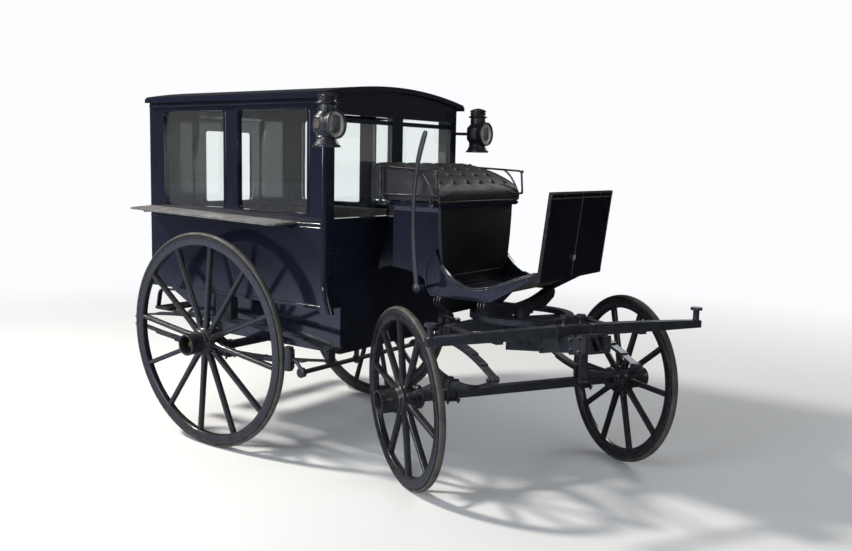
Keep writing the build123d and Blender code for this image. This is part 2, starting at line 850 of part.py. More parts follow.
# Entrance step behind the door: two bent irons that hang from the rear sill and run forward again
# to the rising end of the footwell, with a ribbed tread across them
step_x = 400
step_z = 655
step_y = cabin_rear + 205
ramp_slope = (sill_z - 60 - tub_bottom) / (cabin_rear - 40 - tub_rise_y)
strap = 10
strap_drop = strap / 2 * sqrt(1 + ramp_slope**2)


def ramp(y):
    """Height of the footwell's underside at y, on its rising rear end."""
    return tub_bottom + (y - tub_rise_y) * ramp_slope


with BuildPart() as step:
    for hand in (-1, 1):
        with BuildSketch(side(coach, hand * step_x - 14)):
            with BuildLine():
                FilletPolyline(
                    (cabin_rear + strap / 2, sill_z - 12),
                    (cabin_rear + strap / 2, sill_z - 58),
                    (step_y - 20, sill_z - 66),
                    (step_y + 8, step_z),
                    (step_y - 290, step_z),
                    (step_y - 380, ramp(step_y - 380) - strap_drop),
                    (step_y - 440, ramp(step_y - 440) - strap_drop),
                    radius=(6, 46, 14, 30, 14),
                )
                offset(amount=strap / 2, side=Side.BOTH)
            make_face()
        extrude(amount=28)
    with BuildSketch(level(coach, step_z)):
        with Locations((0, step_y - 60)):
            RectangleRounded(2 * step_x + 60, 140, 18)
    extrude(amount=16)
    with BuildSketch(level(coach, step_z + 16)):
        with Locations(*[(0, step_y - 60 + offset_y) for offset_y in (-45, -15, 15, 45)]):
            Rectangle(2 * step_x, 8)
    extrude(amount=4)
step.part.label = "rear_step"
export_step(step.part, "parts/rear_step.step")

# Upper half of the turning gear, under the box and footboard: bolsters with clips, ring and king pin
clip_wide = 8
with BuildPart() as upper_bed:
    with BuildSketch(level(coach, ring_z + running_gap)):
        Circle(ring_outer)
        Circle(ring_inner, mode=Mode.SUBTRACT)
    extrude(amount=ring_thick)
    with BuildSketch(level(coach, ring_z + running_gap)):
        Circle(46)
    extrude(amount=50)
    with BuildSketch(level(coach, ring_z - ring_thick - 20)):
        Circle(king_pin_dia / 2 - running_gap)
    extrude(amount=60)
    for y in (22, 285):
        with BuildSketch(front(coach, y + 25)):
            with BuildLine():
                Polyline(
                    (-300, bolster_top),
                    (-352, bolster_top),
                    (-352, bolster_top - 45),
                    (-250, ring_z + 10),
                    (250, ring_z + 10),
                    (352, bolster_top - 45),
                    (352, bolster_top),
                    (300, bolster_top),
                )
                ThreePointArc((300, bolster_top), (0, 905), (-300, bolster_top))
            make_face()
        extrude(amount=50)
        with BuildSketch(level(coach, bolster_top - 22)):
            for hand in (-1, 1):
                with Locations(*[(hand * 355, y + place) for place in (-17, 0, 17)]):
                    Rectangle(10, clip_wide)
        extrude(amount=20)
    with BuildSketch(level(coach, ring_z + 10)):
        with Locations((0, 130)):
            Rectangle(70, 360)
    extrude(amount=40)
upper_bed.part.label = "upper_bed"
export_step(upper_bed.part, "parts/upper_bed.step")

# Front axle
axle_bed = 52
axle_top = axle_f_z + axle_bed / 2
bed_end_front = hub_x_front - nave_inner - 8
with BuildPart() as front_axle:
    with BuildSketch(front(gear, bed_thick / 2)):
        Polygon(
            (-bed_end_front, axle_f_z - 20),
            (-bed_end_front + 60, axle_top - axle_bed + 6),
            (bed_end_front - 60, axle_top - axle_bed + 6),
            (bed_end_front, axle_f_z - 20),
            (bed_end_front, axle_top),
            (-bed_end_front, axle_top),
            align=None,
        )
    extrude(amount=bed_thick)
    for hand in (-1, 1):
        out = gear.x_dir * hand * cos(tilt) + Vector(0, 0, -sin(tilt))
        hub = gear.from_local_coords((hand * hub_x_front, 0, axle_f_z))
        with BuildSketch(Plane(origin=hub - out * (nave_inner + 22), z_dir=out)):
            Circle(arm_dia / 2 - running_gap)
        extrude(amount=nave_inner + 22 + nut_start)
        with BuildSketch(Plane(origin=hub + out * nut_start, z_dir=out)):
            RegularPolygon(nut_size / 2, 6)
        extrude(amount=24)
front_axle.part.label = "front_axle"
export_step(front_axle.part, "parts/front_axle.step")

# Front springs: full ellipses whose halves meet at bolted eyes, between the axle and the lower bed
front_spring_x = 400
front_reach = 450
lower_bed_z = ring_z - 68
front_low = axle_top + 27 + 3 * leaf - 2
front_high = lower_bed_z - 36 - 3 * leaf + 2
front_free = front_high - front_low - leaf
upper_sag = 0.44 * front_free
lower_sag = 0.56 * front_free
for hand, name in ((-1, "right"), (1, "left")):
    with BuildPart() as spring:
        with BuildSketch(side(gear, hand * front_spring_x - 21)):
            add(half_spring(0, front_high, front_reach, upper_sag, 1))
            add(half_spring(0, front_low, front_reach, lower_sag, -1))
            for y in (-front_reach, front_reach):
                with Locations((y, front_low + lower_sag + leaf / 2)):
                    Circle(eye_radius)
        extrude(amount=42)
        with BuildSketch(side(gear, hand * front_spring_x - 26)):
            with Locations((0, (axle_top + front_low - 2 * leaf) / 2)):
                Rectangle(84, front_low - 2 * leaf - axle_top)
            with Locations((0, (lower_bed_z + front_high + 2 * leaf) / 2)):
                Rectangle(90, lower_bed_z - front_high - 2 * leaf)
        extrude(amount=52)
    spring.part.label = f"front_spring_{name}"
    export_step(spring.part, f"parts/front_spring_{name}.step")

# Lower bed and turntable ring of the fore-carriage
with BuildPart() as turntable:
    with BuildSketch(level(gear, ring_z - ring_thick)):
        Circle(ring_outer)
        Circle(ring_inner, mode=Mode.SUBTRACT)
    extrude(amount=ring_thick)
    with BuildSketch(front(gear, 32)):
        Polygon(
            (-front_spring_x - 34, lower_bed_z),
            (front_spring_x + 34, lower_bed_z),
            (front_spring_x + 34, ring_z - 36),
            (ring_outer, ring_z - ring_thick),
            (-ring_outer, ring_z - ring_thick),
            (-front_spring_x - 34, ring_z - 36),
            align=None,
        )
    extrude(amount=64)
    with BuildSketch(side(gear, -26)):
        Polygon(
            (ring_inner - 6, ring_z - ring_thick),
            (ring_outer - 4, ring_z - ring_thick),
            (ring_outer - 4, ring_z - 30),
            (32, lower_bed_z + 10),
            (32, ring_z - 44),
            align=None,
        )
    extrude(amount=52)
    with BuildSketch(level(gear, ring_z - ring_thick)):
        Circle(40)
    extrude(amount=ring_thick)
    with BuildSketch(level(gear, ring_z - 100)):
        Circle(king_pin_dia / 2)
    extrude(amount=100, mode=Mode.SUBTRACT)
turntable.part.label = "turntable"
export_step(turntable.part, "parts/turntable.step")

# Futchells: two cheeks that rise forward to the pole socket, held by iron bands, with a pin hole
# for the pole, a hanging iron, and an iron stay to the splinter bar on either side
pole_rise = tan(radians(10))
pole_y = -420
pole_z = bar_bottom - 47
socket_front = -690
socket_half = 38
pole_half = 42
cheek = 28
band = 8
pole_pin_dia = 18
pin_y = socket_front + 46


def pole_line(y):
    """Height of the middle of the pole socket at y."""
    return pole_z + (pole_y - y) * pole_rise


def along_pole(rear, fore, half):
    """Side view of a length of the socket between two places, half its height either way."""
    with BuildSketch() as view:
        Polygon(
            (rear, pole_line(rear) - half),
            (rear, pole_line(rear) + half),
            (fore, pole_line(fore) + half),
            (fore, pole_line(fore) - half),
            align=None,
        )
    return view.sketch


with BuildPart() as futchells:
    for hand in (-1, 1):
        with BuildSketch(side(gear, hand * (pole_half + cheek / 2) - cheek / 2)):
            add(along_pole(32, socket_front, socket_half))
            Polygon(
                (-32, pole_line(-32)),
                (-32, lower_bed_z),
                (32, lower_bed_z),
                (32, pole_line(32)),
                align=None,
            )
        extrude(amount=cheek)
    for rear, fore in ((-300, -330), (-560, -590), (pin_y + 20, pin_y - 20)):
        with BuildSketch(side(gear, -pole_half - cheek)):
            add(along_pole(rear, fore, socket_half + band))
        extrude(amount=2 * (pole_half + cheek))
    with BuildSketch(side(gear, -pole_half)):
        add(along_pole(-60, socket_front - 10, socket_half - 4))
    extrude(amount=2 * pole_half, mode=Mode.SUBTRACT)
    with BuildSketch(side(gear, -pole_half)):
        add(along_pole(32, -32, socket_half))
    extrude(amount=2 * pole_half)
    with BuildSketch(level(gear, bar_bottom)):
        with Locations((0, -bar_ahead)):
            Rectangle(200, 60)
    extrude(amount=60, mode=Mode.SUBTRACT)
    with BuildSketch(level(gear, pole_line(pin_y) - 80)):
        with Locations((0, pin_y)):
            Circle(pole_pin_dia / 2)
    extrude(amount=160, mode=Mode.SUBTRACT)
    with BuildSketch(side(gear, -20)):
        Polygon(
            (-575, pole_line(-575) - socket_half),
            (-587, pole_line(-587) - socket_half),
            (-587, pole_z - 144),
            (-604, pole_z - 140),
            (-604, pole_z - 150),
            (-575, pole_z - 154),
            align=None,
        )
    extrude(amount=40)
    for hand in (-1, 1):
        with BuildSketch(side(gear, hand * front_spring_x - 18)):
            Polygon(
                (-32, bar_bottom - 14),
                (-32, bar_bottom - 36),
                (-60, bar_bottom - 26),
                (-bar_ahead - 20, bar_bottom - 12),
                (-bar_ahead - 20, bar_bottom),
                (-60, bar_bottom - 14),
                align=None,
            )
        extrude(amount=36)
futchells.part.label = "futchells"
export_step(futchells.part, "parts/futchells.step")

# Splinter bar, thicker in its middle and swept a little forward, with its four trace posts
posts = (
    # place across, stem radius, head radius, top of the bar there
    (-738, 15, 29, bar_bottom + bar_end),
    (-46, 12, 22, bar_bottom + bar_middle),
    (46, 12, 22, bar_bottom + bar_middle),
    (738, 15, 29, bar_bottom + bar_end),
)
head_z = bar_bottom + 89
head_thick = 13
with BuildPart() as bar:
    with BuildSketch(level(gear, bar_bottom)):
        with BuildLine():
            ThreePointArc((-bar_half, -bar_ahead + 18), (0, -bar_ahead + 26), (bar_half, -bar_ahead + 18))
            Line((bar_half, -bar_ahead + 18), (bar_half, -bar_ahead - 18))
            ThreePointArc((bar_half, -bar_ahead - 18), (0, -bar_ahead - 26), (-bar_half, -bar_ahead - 18))
            Line((-bar_half, -bar_ahead - 18), (-bar_half, -bar_ahead + 18))
        make_face()
    extrude(amount=bar_middle + 10)
    with BuildSketch(front(gear, -bar_ahead + 60)):
        with BuildLine():
            Polyline(
                (-bar_half, bar_bottom + bar_end),
                (-bar_half, bar_bottom),
                (bar_half, bar_bottom),
                (bar_half, bar_bottom + bar_end),
            )
            ThreePointArc(
                (bar_half, bar_bottom + bar_end),
                (0, bar_bottom + bar_middle),
                (-bar_half, bar_bottom + bar_end),
            )
        make_face()
    extrude(amount=120, mode=Mode.INTERSECT)
    for x, stem, head, top in posts:
        with BuildSketch(level(gear, top - 6)):
            with Locations((x, -bar_ahead)):
                Circle(stem)
        extrude(amount=head_z - top + 6)
        with BuildSketch(level(gear, head_z)):
            with Locations((x, -bar_ahead)):
                Circle(head)
        extrude(amount=head_thick)
bar.part.label = "splinter_bar"
export_step(bar.part, "parts/splinter_bar.step")

# Wheels: nave, spokes and felloes in one piece of joinery, and the rubber tyre round them
wheels = (
    # name, frame, hand, back of king pin, hub x, hub z, spokes, share of a spoke's spacing turned
    ("rear_right", coach, -1, rear_axle_y, hub_x_rear, axle_r_z, rear_spokes, 0.73),
    ("rear_left", coach, 1, rear_axle_y, hub_x_rear, axle_r_z, rear_spokes, 0.5),
    ("front_right", gear, -1, 0, hub_x_front, axle_f_z, front_spokes, 0.64),
    ("front_left", gear, 1, 0, hub_x_front, axle_f_z, front_spokes, 0),
)
spoke_foot = 36
spoke_axial = 34
spoke_wide = 28
spoke_bevel = 9
for name, frame, hand, back, hub_x, hub_z, spokes, turned in wheels:
    centre = frame.from_local_coords((hand * hub_x, back, hub_z))
    outward = frame.x_dir * hand * cos(tilt) + Vector(0, 0, -sin(tilt))
    disc = Plane(origin=centre, x_dir=frame.y_dir, z_dir=outward)
    section = Plane(origin=centre, x_dir=outward, z_dir=-frame.y_dir * hand)
    axis = Axis(centre, outward)
    felloe_outer = hub_z - tyre_depth
    felloe_inner = felloe_outer - felloe_depth
    band_radius = band_dia / 2
    with BuildPart() as wheel:
        with BuildSketch(section):
            Polygon(
                (-nave_inner, arm_dia / 2),
                (-nave_inner, band_radius),
                (-30, nave_dia / 2),
                (30, nave_dia / 2),
                (nave_outer, band_radius),
                (band_reach, band_radius - 3),
                (band_reach, band_radius - 3 - band_thick),
                (nave_outer + 10, band_radius - 3 - band_thick),
                (nave_outer + 10, arm_dia / 2),
                align=None,
            )
        revolve(axis=axis)
        with BuildSketch(section):
            with Locations((0, (felloe_outer + felloe_inner) / 2)):
                Rectangle(tyre_width + 2, felloe_depth)
        revolve(axis=axis)
        for spoke in range(spokes):
            angle = 2 * pi * (spoke + turned) / spokes
            along = disc.x_dir * cos(angle) + disc.y_dir * sin(angle)
            foot = Plane(origin=centre + along * (nave_dia / 2 - 6), x_dir=outward, z_dir=along)
            for length, across in ((0, spoke_foot), (felloe_inner + 14 - nave_dia / 2, spoke_wide)):
                with BuildSketch(foot.offset(length)) as spoke_end:
                    Rectangle(spoke_axial, across)
                    chamfer(spoke_end.vertices(), spoke_bevel)
            loft(ruled=True)
    wheel.part.label = f"wheel_{name}"
    export_step(wheel.part, f"parts/wheel_{name}.step")

    with BuildPart() as tyre:
        with BuildSketch(section):
            Polygon(
                (tyre_width / 2, felloe_outer),
                (tyre_width / 2, hub_z - 7),
                (0, hub_z),
                (-tyre_width / 2, hub_z - 7),
                (-tyre_width / 2, felloe_outer),
                align=None,
            )
        revolve(axis=axis)
    tyre.part.label = f"tyre_{name}"
    export_step(tyre.part, f"parts/tyre_{name}.step")
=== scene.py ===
# %% [markdown]
# # A horse-drawn coach, dressed for its portrait
# The coach comes in as a fixed CAD frame: a glazed cabin, a driver's box, a fore-carriage that
# turns, four wheels. This lesson adds what a CAD model leaves out: varnish, worn edges, buttoned
# leather, turned naves, lamps with lids and lenses. Every piece is made in metres in the frame's own
# axes: +Z up, the coach faces -Y, and its right side is -X.

# %% Load the frame
import bmesh
import bpy
import math
from mathutils import Matrix, Vector, noise


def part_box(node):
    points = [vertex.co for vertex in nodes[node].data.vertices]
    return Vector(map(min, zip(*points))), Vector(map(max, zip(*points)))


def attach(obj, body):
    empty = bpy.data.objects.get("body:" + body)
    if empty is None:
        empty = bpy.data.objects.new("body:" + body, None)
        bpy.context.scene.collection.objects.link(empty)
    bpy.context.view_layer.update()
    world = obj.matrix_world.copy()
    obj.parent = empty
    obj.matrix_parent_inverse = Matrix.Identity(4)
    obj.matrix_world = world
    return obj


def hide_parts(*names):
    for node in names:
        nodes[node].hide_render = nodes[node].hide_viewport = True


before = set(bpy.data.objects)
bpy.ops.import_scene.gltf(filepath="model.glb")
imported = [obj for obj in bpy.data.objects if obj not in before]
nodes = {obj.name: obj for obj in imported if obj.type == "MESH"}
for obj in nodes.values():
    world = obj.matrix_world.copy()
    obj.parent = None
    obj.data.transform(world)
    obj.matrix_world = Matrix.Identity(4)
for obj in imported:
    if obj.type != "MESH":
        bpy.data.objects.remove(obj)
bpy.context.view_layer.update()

# %% [markdown]
# ## Places
# The CAD measures along the coach from the king pin. Two helpers turn such millimetres into the
# frame's metres: one for what rides on the coach, and one for the fore-carriage, which stands
# turned by 30 degrees.

# %% Places on the coach and on the fore-carriage
king_pin_y = -0.826
rest_steer = math.radians(-30)


def on_coach(x, y, z):
    """A point that rides on the coach: across, back of the king pin, and up."""
    return Vector((x / 1000, y / 1000 + king_pin_y, z / 1000))


turned = Matrix.Translation((0, king_pin_y, 0)) @ Matrix.Rotation(rest_steer, 4, "Z")


def on_gear(x, y, z):
    """The same for a point of the fore-carriage, measured before its turn."""
    return turned @ Vector((x / 1000, y / 1000, z / 1000))


print("king pin at", king_pin_y, "turned by", round(math.degrees(rest_steer)), "degrees")

# %% [markdown]
# ## Camera
# The photograph was taken from the right front corner, a little above the seat's foot board. The
# camera's place, turn and lens were fitted to the wheels and the cabin's edges, so the render can be
# laid over the photograph. The lens's optical middle is a few pixels high, hence the small shift.

# %% Camera
yaw, pitch, roll = math.radians(54.18), math.radians(-6.77), math.radians(1.18)
forward = Vector((math.sin(yaw) * math.cos(pitch), math.cos(yaw) * math.cos(pitch), math.sin(pitch)))
level_right = Vector((math.cos(yaw), -math.sin(yaw), 0))
level_up = level_right.cross(forward)
right = level_right * math.cos(roll) + level_up * math.sin(roll)
up = level_up * math.cos(roll) - level_right * math.sin(roll)
camera = bpy.data.objects.new("camera", bpy.data.cameras.new("camera"))
bpy.context.scene.collection.objects.link(camera)
camera_spot = Vector((-4.034, -3.118, 1.637))
camera.matrix_world = Matrix.Translation(camera_spot) @ Matrix((right, up, -forward)).transposed().to_4x4()
camera.data.lens = 37.88
camera.data.sensor_width = 36
camera.data.shift_y = -0.0101
camera.data.clip_end = 100
bpy.context.scene.camera = camera
bpy.context.scene.view_settings.view_transform = "Standard"
print("camera stands", round(camera_spot.length, 3), "m from the origin")

# %% [markdown]
# ## Shader tools
# A node tree is quicker to read when each line adds one node and links it. These helpers do that, and
# every effect below is a group that puts out only a mask, a height or a colour.

# %% Node helpers
def add_node(tree, kind, links=None, **settings):
    """A node of that kind: settings are its own properties, links fill its inputs."""
    node = tree.nodes.new(kind)
    for name, value in settings.items():
        setattr(node, name, value)
    for name, value in (links or {}).items():
        socket = node.inputs[name]
        if isinstance(value, bpy.types.NodeSocket):
            tree.links.new(value, socket)
        else:
            socket.default_value = value
    return node


def new_group(name, inputs, outputs):
    """A shader group with float inputs, given as name and default, and named outputs."""
    tree = bpy.data.node_groups.new(name, "ShaderNodeTree")
    for label, default in inputs.items():
        socket = tree.interface.new_socket(label, in_out="INPUT", socket_type="NodeSocketFloat")
        socket.default_value = default
    for label in outputs:
        tree.interface.new_socket(label, in_out="OUTPUT", socket_type="NodeSocketFloat")
    return tree, tree.nodes.new("NodeGroupInput").outputs, tree.nodes.new("NodeGroupOutput").inputs


def use_group(tree, group, **values):
    """The group placed in a material with its own values."""
    node = tree.nodes.new("ShaderNodeGroup")
    node.node_tree = group
    for name, value in values.items():
        socket = node.inputs[name.replace("_", " ")]
        if isinstance(value, bpy.types.NodeSocket):
            tree.links.new(value, socket)
        else:
            socket.default_value = value
    return node.outputs


def noise_map(tree, place, scale, **settings):
    """The value of a noise texture; settings are its other inputs."""
    links = {"Vector": place, "Scale": scale, **settings}
    return add_node(tree, "ShaderNodeTexNoise", links).outputs[0]


def object_place(tree):
    """The point in the object's own coordinates."""
    return add_node(tree, "ShaderNodeTexCoord").outputs["Object"]


def maths(tree, operation, first, second=0.5):
    """One step of arithmetic on two values, each a number or a socket."""
    node = add_node(tree, "ShaderNodeMath", {0: first, 1: second}, operation=operation)
    return node.outputs[0]


def remap(tree, value, low, high, to_low=0.0, to_high=1.0):
    """A value stretched from low..high to to_low..to_high, and held at those ends."""
    links = {"Value": value, "From Min": low, "From Max": high, "To Min": to_low, "To Max": to_high}
    return add_node(tree, "ShaderNodeMapRange", links).outputs["Result"]


def mixed(tree, mask, below, above):
    """One colour laid over another where the mask is one."""
    node = add_node(tree, "ShaderNodeMix", data_type="RGBA")
    for place, value in ((0, mask), (6, below), (7, above)):
        if isinstance(value, bpy.types.NodeSocket):
            tree.links.new(value, node.inputs[place])
        else:
            node.inputs[place].default_value = value
    return node.outputs[2]


# %% [markdown]
# ## Worn edges
# Paint goes first where hands, straps and stones touch it: on the edges. A Bevel node rounds the
# normal near an edge, so its dot product with the true normal falls there, which is a mask of edges
# on any mesh. Noise breaks it up, or every edge would wear alike.

# %% Edge wear group
edge_wear, given, result = new_group("edge_wear", {"Width": 0.004, "Amount": 0.5, "Scale": 40.0}, ["Mask"])
rounded = add_node(edge_wear, "ShaderNodeBevel", {"Radius": given["Width"]}, samples=4).outputs[0]
true_normal = add_node(edge_wear, "ShaderNodeNewGeometry").outputs["Normal"]
facing = add_node(
    edge_wear, "ShaderNodeVectorMath", {0: rounded, 1: true_normal}, operation="DOT_PRODUCT"
)
edge = remap(edge_wear, facing.outputs["Value"], 0.995, 0.80)
patches = noise_map(edge_wear, object_place(edge_wear), given["Scale"], Detail=5.0, Roughness=0.65)
worn_edge = maths(edge_wear, "MULTIPLY", edge, remap(edge_wear, patches, 0.42, 0.62))
edge_wear.links.new(maths(edge_wear, "MULTIPLY", worn_edge, given["Amount"]), result["Mask"])
print("edge wear group has", len(edge_wear.nodes), "nodes")

# %% [markdown]
# ## Dust, and painted sheen
# Road dust settles on what faces up and clings low down. The mask mixes the normal's upward share
# with the height above the road, and a fine noise makes it grainy. On the gear and the mudguard
# boards the same mask on upward faces also paints the sky light and sun that fall on their tops.

# %% Dust and painted sheen group
dust, given, result = new_group("dust", {"Amount": 0.4, "Top": 0.9, "Scale": 18.0}, ["Mask"])
geometry = add_node(dust, "ShaderNodeNewGeometry").outputs
upward = add_node(dust, "ShaderNodeSeparateXYZ", {0: geometry["Normal"]}).outputs["Z"]
lying = remap(dust, upward, 0.2, 1.0, 0.15, 1.0)
place = object_place(dust)
height = add_node(dust, "ShaderNodeSeparateXYZ", {0: place}).outputs["Z"]
low_down = remap(dust, height, given["Top"], 0.0)
grains = remap(dust, noise_map(dust, place, given["Scale"], Detail=8.0, Roughness=0.7), 0.35, 0.7)
dust_and_sheen_mask = maths(dust, "MULTIPLY", maths(dust, "MAXIMUM", lying, low_down), grains)
dust.links.new(maths(dust, "MULTIPLY", dust_and_sheen_mask, given["Amount"]), result["Mask"])
print("dust group has", len(dust.nodes), "nodes")

# %% [markdown]
# ## Brushed varnish and grain
# Coach paint is laid on with a brush and flatted by hand, so its gloss waves a little. Leather has
# pebbles with creases between them. Ash spokes show their grain under thin paint. Each of these is a
# height for a Bump node and, where it helps, a mask for roughness.

# %% Brush, pebble and grain groups
brush, given, result = new_group("brush", {"Scale": 6.0, "Fine": 160.0}, ["Height", "Haze"])
place = object_place(brush)
waves = noise_map(brush, place, given["Scale"], Detail=2.0)
specks = noise_map(brush, place, given["Fine"], Detail=3.0)
brush.links.new(maths(brush, "ADD", waves, maths(brush, "MULTIPLY", specks, 0.08)), result["Height"])
brush.links.new(remap(brush, waves, 0.35, 0.7), result["Haze"])

pebble, given, result = new_group("pebble", {"Scale": 320.0, "Crease": 9.0}, ["Height", "Creases"])
place = object_place(pebble)
cells = add_node(
    pebble, "ShaderNodeTexVoronoi", {"Vector": place, "Scale": given["Scale"]}, feature="SMOOTH_F1"
)
folds = noise_map(pebble, place, given["Crease"], Detail=6.0, Distortion=1.2)
ridge = maths(pebble, "ABSOLUTE", maths(pebble, "SUBTRACT", folds, 0.5))
creases = remap(pebble, ridge, 0.0, 0.05, 1.0, 0.0)
pebbles = maths(pebble, "MULTIPLY", cells.outputs["Distance"], -0.6)
sunk = maths(pebble, "MULTIPLY", creases, 0.25)
pebble.links.new(maths(pebble, "SUBTRACT", pebbles, sunk), result["Height"])
pebble.links.new(creases, result["Creases"])

grain, given, result = new_group("grain", {"Along": 3.0, "Across": 90.0}, ["Height", "Pores"])
along = add_node(grain, "ShaderNodeUVMap", uv_map="along").outputs["UV"]
parts = add_node(grain, "ShaderNodeSeparateXYZ", {0: along}).outputs
wide = maths(grain, "MULTIPLY", parts["X"], given["Across"])
long = maths(grain, "MULTIPLY", parts["Y"], given["Along"])
stretched = add_node(grain, "ShaderNodeCombineXYZ", {"X": wide, "Y": long}).outputs[0]
fibres = noise_map(grain, stretched, 1.0, Detail=6.0)
grain.links.new(fibres, result["Height"])
grain.links.new(remap(grain, fibres, 0.55, 0.7), result["Pores"])
print("three surface groups made")

# %% [markdown]
# ## Paint, leather, iron, rubber and glass
# One function lays down a finish: a base colour, the wear and dust over it, and a bump. On the gear
# and the mudguard boards that dust on upward faces is partly a painted sheen of sky light. What is
# the same all over the surface is set on the shader's own sockets. Only what changes over the
# surface comes in through a link.

# %% A finish
def finish(
    name, colour, rough, metal=0.0, coat=0.0, coat_rough=0.05, wear=0.0, wear_width=0.004,
    worn=(0.2, 0.18, 0.16), wear_scale=40.0, dust_and_sheen_amount=0.0, dust_and_sheen_colour=(0.22, 0.20, 0.17), dust_and_sheen_top=0.9,
    surface="brush", bump=0.02, bump_depth=0.001, rough_spread=0.08, **surface_values,
):
    """A material: its colour and roughness, its worn edges, its dust up to the given top (partly painted
    sheen on some), its surface group.
    """
    colour, worn, dust_and_sheen_colour = ((*shade, 1) for shade in (colour, worn, dust_and_sheen_colour))
    material = bpy.data.materials.new(name)
    material.use_nodes = True
    tree = material.node_tree
    shader = tree.nodes["Principled BSDF"]
    groups = {"brush": brush, "pebble": pebble, "grain": grain}
    relief = use_group(tree, groups[surface], **surface_values)
    mottle = relief[1]
    shown = mixed(tree, mottle, colour, (*(share * 0.72 for share in colour[:3]), 1))
    if wear:
        mask = use_group(tree, edge_wear, Width=wear_width, Amount=wear, Scale=wear_scale)["Mask"]
        shown = mixed(tree, mask, shown, worn)
    roughness = remap(tree, mottle, 0.0, 1.0, rough, rough + rough_spread)
    # The film over upward faces and low parts: dust, and on some finishes a painted sheen of sky light.
    if dust_and_sheen_amount:
        film = use_group(tree, dust, Amount=dust_and_sheen_amount, Top=dust_and_sheen_top)["Mask"]
        shown = mixed(tree, film, shown, dust_and_sheen_colour)
        roughness = maths(tree, "MAXIMUM", roughness, maths(tree, "MULTIPLY", film, 0.9))
    tree.links.new(shown, shader.inputs["Base Color"])
    tree.links.new(roughness, shader.inputs["Roughness"])
    shader.inputs["Metallic"].default_value = metal
    shader.inputs["Coat Weight"].default_value = coat
    shader.inputs["Coat Roughness"].default_value = coat_rough
    bump_links = {"Height": relief[0], "Strength": bump, "Distance": bump_depth}
    tree.links.new(add_node(tree, "ShaderNodeBump", bump_links).outputs[0], shader.inputs["Normal"])
    return material


# %% [markdown]
# ## Paints and rubber
# The body is a blue that is nearly black, under many coats of varnish. The gear's paint is duller and
# dusty, and the bluish film on its upward faces is partly painted sky light. The mudguard boards'
# pale grey and pale tops are partly painted sky reflection and sun. The wheels' paint is thin enough
# to show the ash. A picture of paint would repeat and smear on curved parts. So each paint is one
# line of values, and coat, wear, dust and painted sheen tell them apart.

# %% Paints, boards and rubber
coach_paint = finish(
    "coach_paint", (0.0075, 0.0095, 0.021), 0.15, coat=0.9, coat_rough=0.04, wear=0.35,
    wear_width=0.003, worn=(0.12, 0.13, 0.15), dust_and_sheen_amount=0.10, dust_and_sheen_top=1.0, bump=0.05, rough_spread=0.06,
)
# The bluish film on the gear's upward faces is partly road dust and partly a painted sheen of sky light.
gear_paint = finish(
    "gear_paint", (0.014, 0.016, 0.021), 0.28, coat=0.45, coat_rough=0.18, wear=0.6,
    worn=(0.20, 0.19, 0.19), dust_and_sheen_amount=0.38, dust_and_sheen_top=0.5, dust_and_sheen_colour=(0.27, 0.28, 0.32), bump=0.12,
    rough_spread=0.14,
)
wheel_paint = finish(
    "wheel_paint", (0.013, 0.0125, 0.0145), 0.26, coat=0.65, coat_rough=0.12, wear=0.6,
    wear_width=0.003, worn=(0.21, 0.185, 0.16), dust_and_sheen_amount=0.13, dust_and_sheen_top=0.5, surface="grain", bump=0.16,
    rough_spread=0.12,
)
# The board's pale grey and the pale film on its top are partly painted sky reflection and sun, partly dust;
# its rubbed edges are real wear.
board_paint_and_sky_sheen = finish(
    "board_paint_and_sky_sheen", (0.125, 0.122, 0.124), 0.34, coat=0.3, coat_rough=0.2, wear=0.9, wear_width=0.005,
    wear_scale=26.0, worn=(0.50, 0.47, 0.43), dust_and_sheen_amount=0.7, dust_and_sheen_top=0.4, dust_and_sheen_colour=(0.46, 0.445, 0.42),
    bump=0.2, rough_spread=0.2,
)
worn_board = finish(
    "worn_board", (0.17, 0.125, 0.092), 0.6, wear=0.4, worn=(0.34, 0.27, 0.2), dust_and_sheen_amount=0.35, dust_and_sheen_top=0.4,
    bump=0.3, Scale=20.0, Fine=300.0,
)
rubber = finish(
    "rubber", (0.050, 0.047, 0.043), 0.55, dust_and_sheen_amount=0.5, dust_and_sheen_top=1.4, dust_and_sheen_colour=(0.20, 0.185, 0.16),
    bump=0.25, rough_spread=0.2, Scale=14.0, Fine=420.0,
)
print("materials so far", len(bpy.data.materials))

# %% [markdown]
# ## Leathers
# The box wears a black hide, the dash a patent one, the cushion is dull with road dust, and the
# benches are brown. All but the patent leather have the pebble group as their surface, finer on the
# cushion, because a hide's pebbles are what tells it from paint.

# %% Leathers
black_leather = finish(
    "black_leather", (0.009, 0.010, 0.013), 0.40, coat=0.08, coat_rough=0.35, wear=0.5,
    wear_width=0.003, worn=(0.14, 0.11, 0.08), dust_and_sheen_amount=0.16, dust_and_sheen_top=1.3, surface="pebble", bump=0.35,
    bump_depth=0.0008,
)
patent_leather = finish(
    "patent_leather", (0.005, 0.006, 0.010), 0.18, coat=0.3, coat_rough=0.08, wear=0.5,
    wear_width=0.003, worn=(0.16, 0.11, 0.07), dust_and_sheen_amount=0.08, dust_and_sheen_top=1.2, bump=0.12, rough_spread=0.10,
    Scale=7.0, Fine=240.0,
)
cushion_leather = finish(
    "cushion_leather", (0.017, 0.016, 0.018), 0.52, coat=0.05, coat_rough=0.4, dust_and_sheen_amount=0.6, dust_and_sheen_top=0.2,
    dust_and_sheen_colour=(0.155, 0.128, 0.105), surface="pebble", bump=0.4, bump_depth=0.0008, Scale=420.0,
    Crease=16.0,
)
worn_leather = finish(
    "worn_leather", (0.045, 0.033, 0.026), 0.42, coat=0.1, wear=0.4, wear_width=0.002,
    worn=(0.20, 0.14, 0.09), dust_and_sheen_amount=0.12, dust_and_sheen_top=0.2, surface="pebble", bump=0.3, bump_depth=0.0006,
)
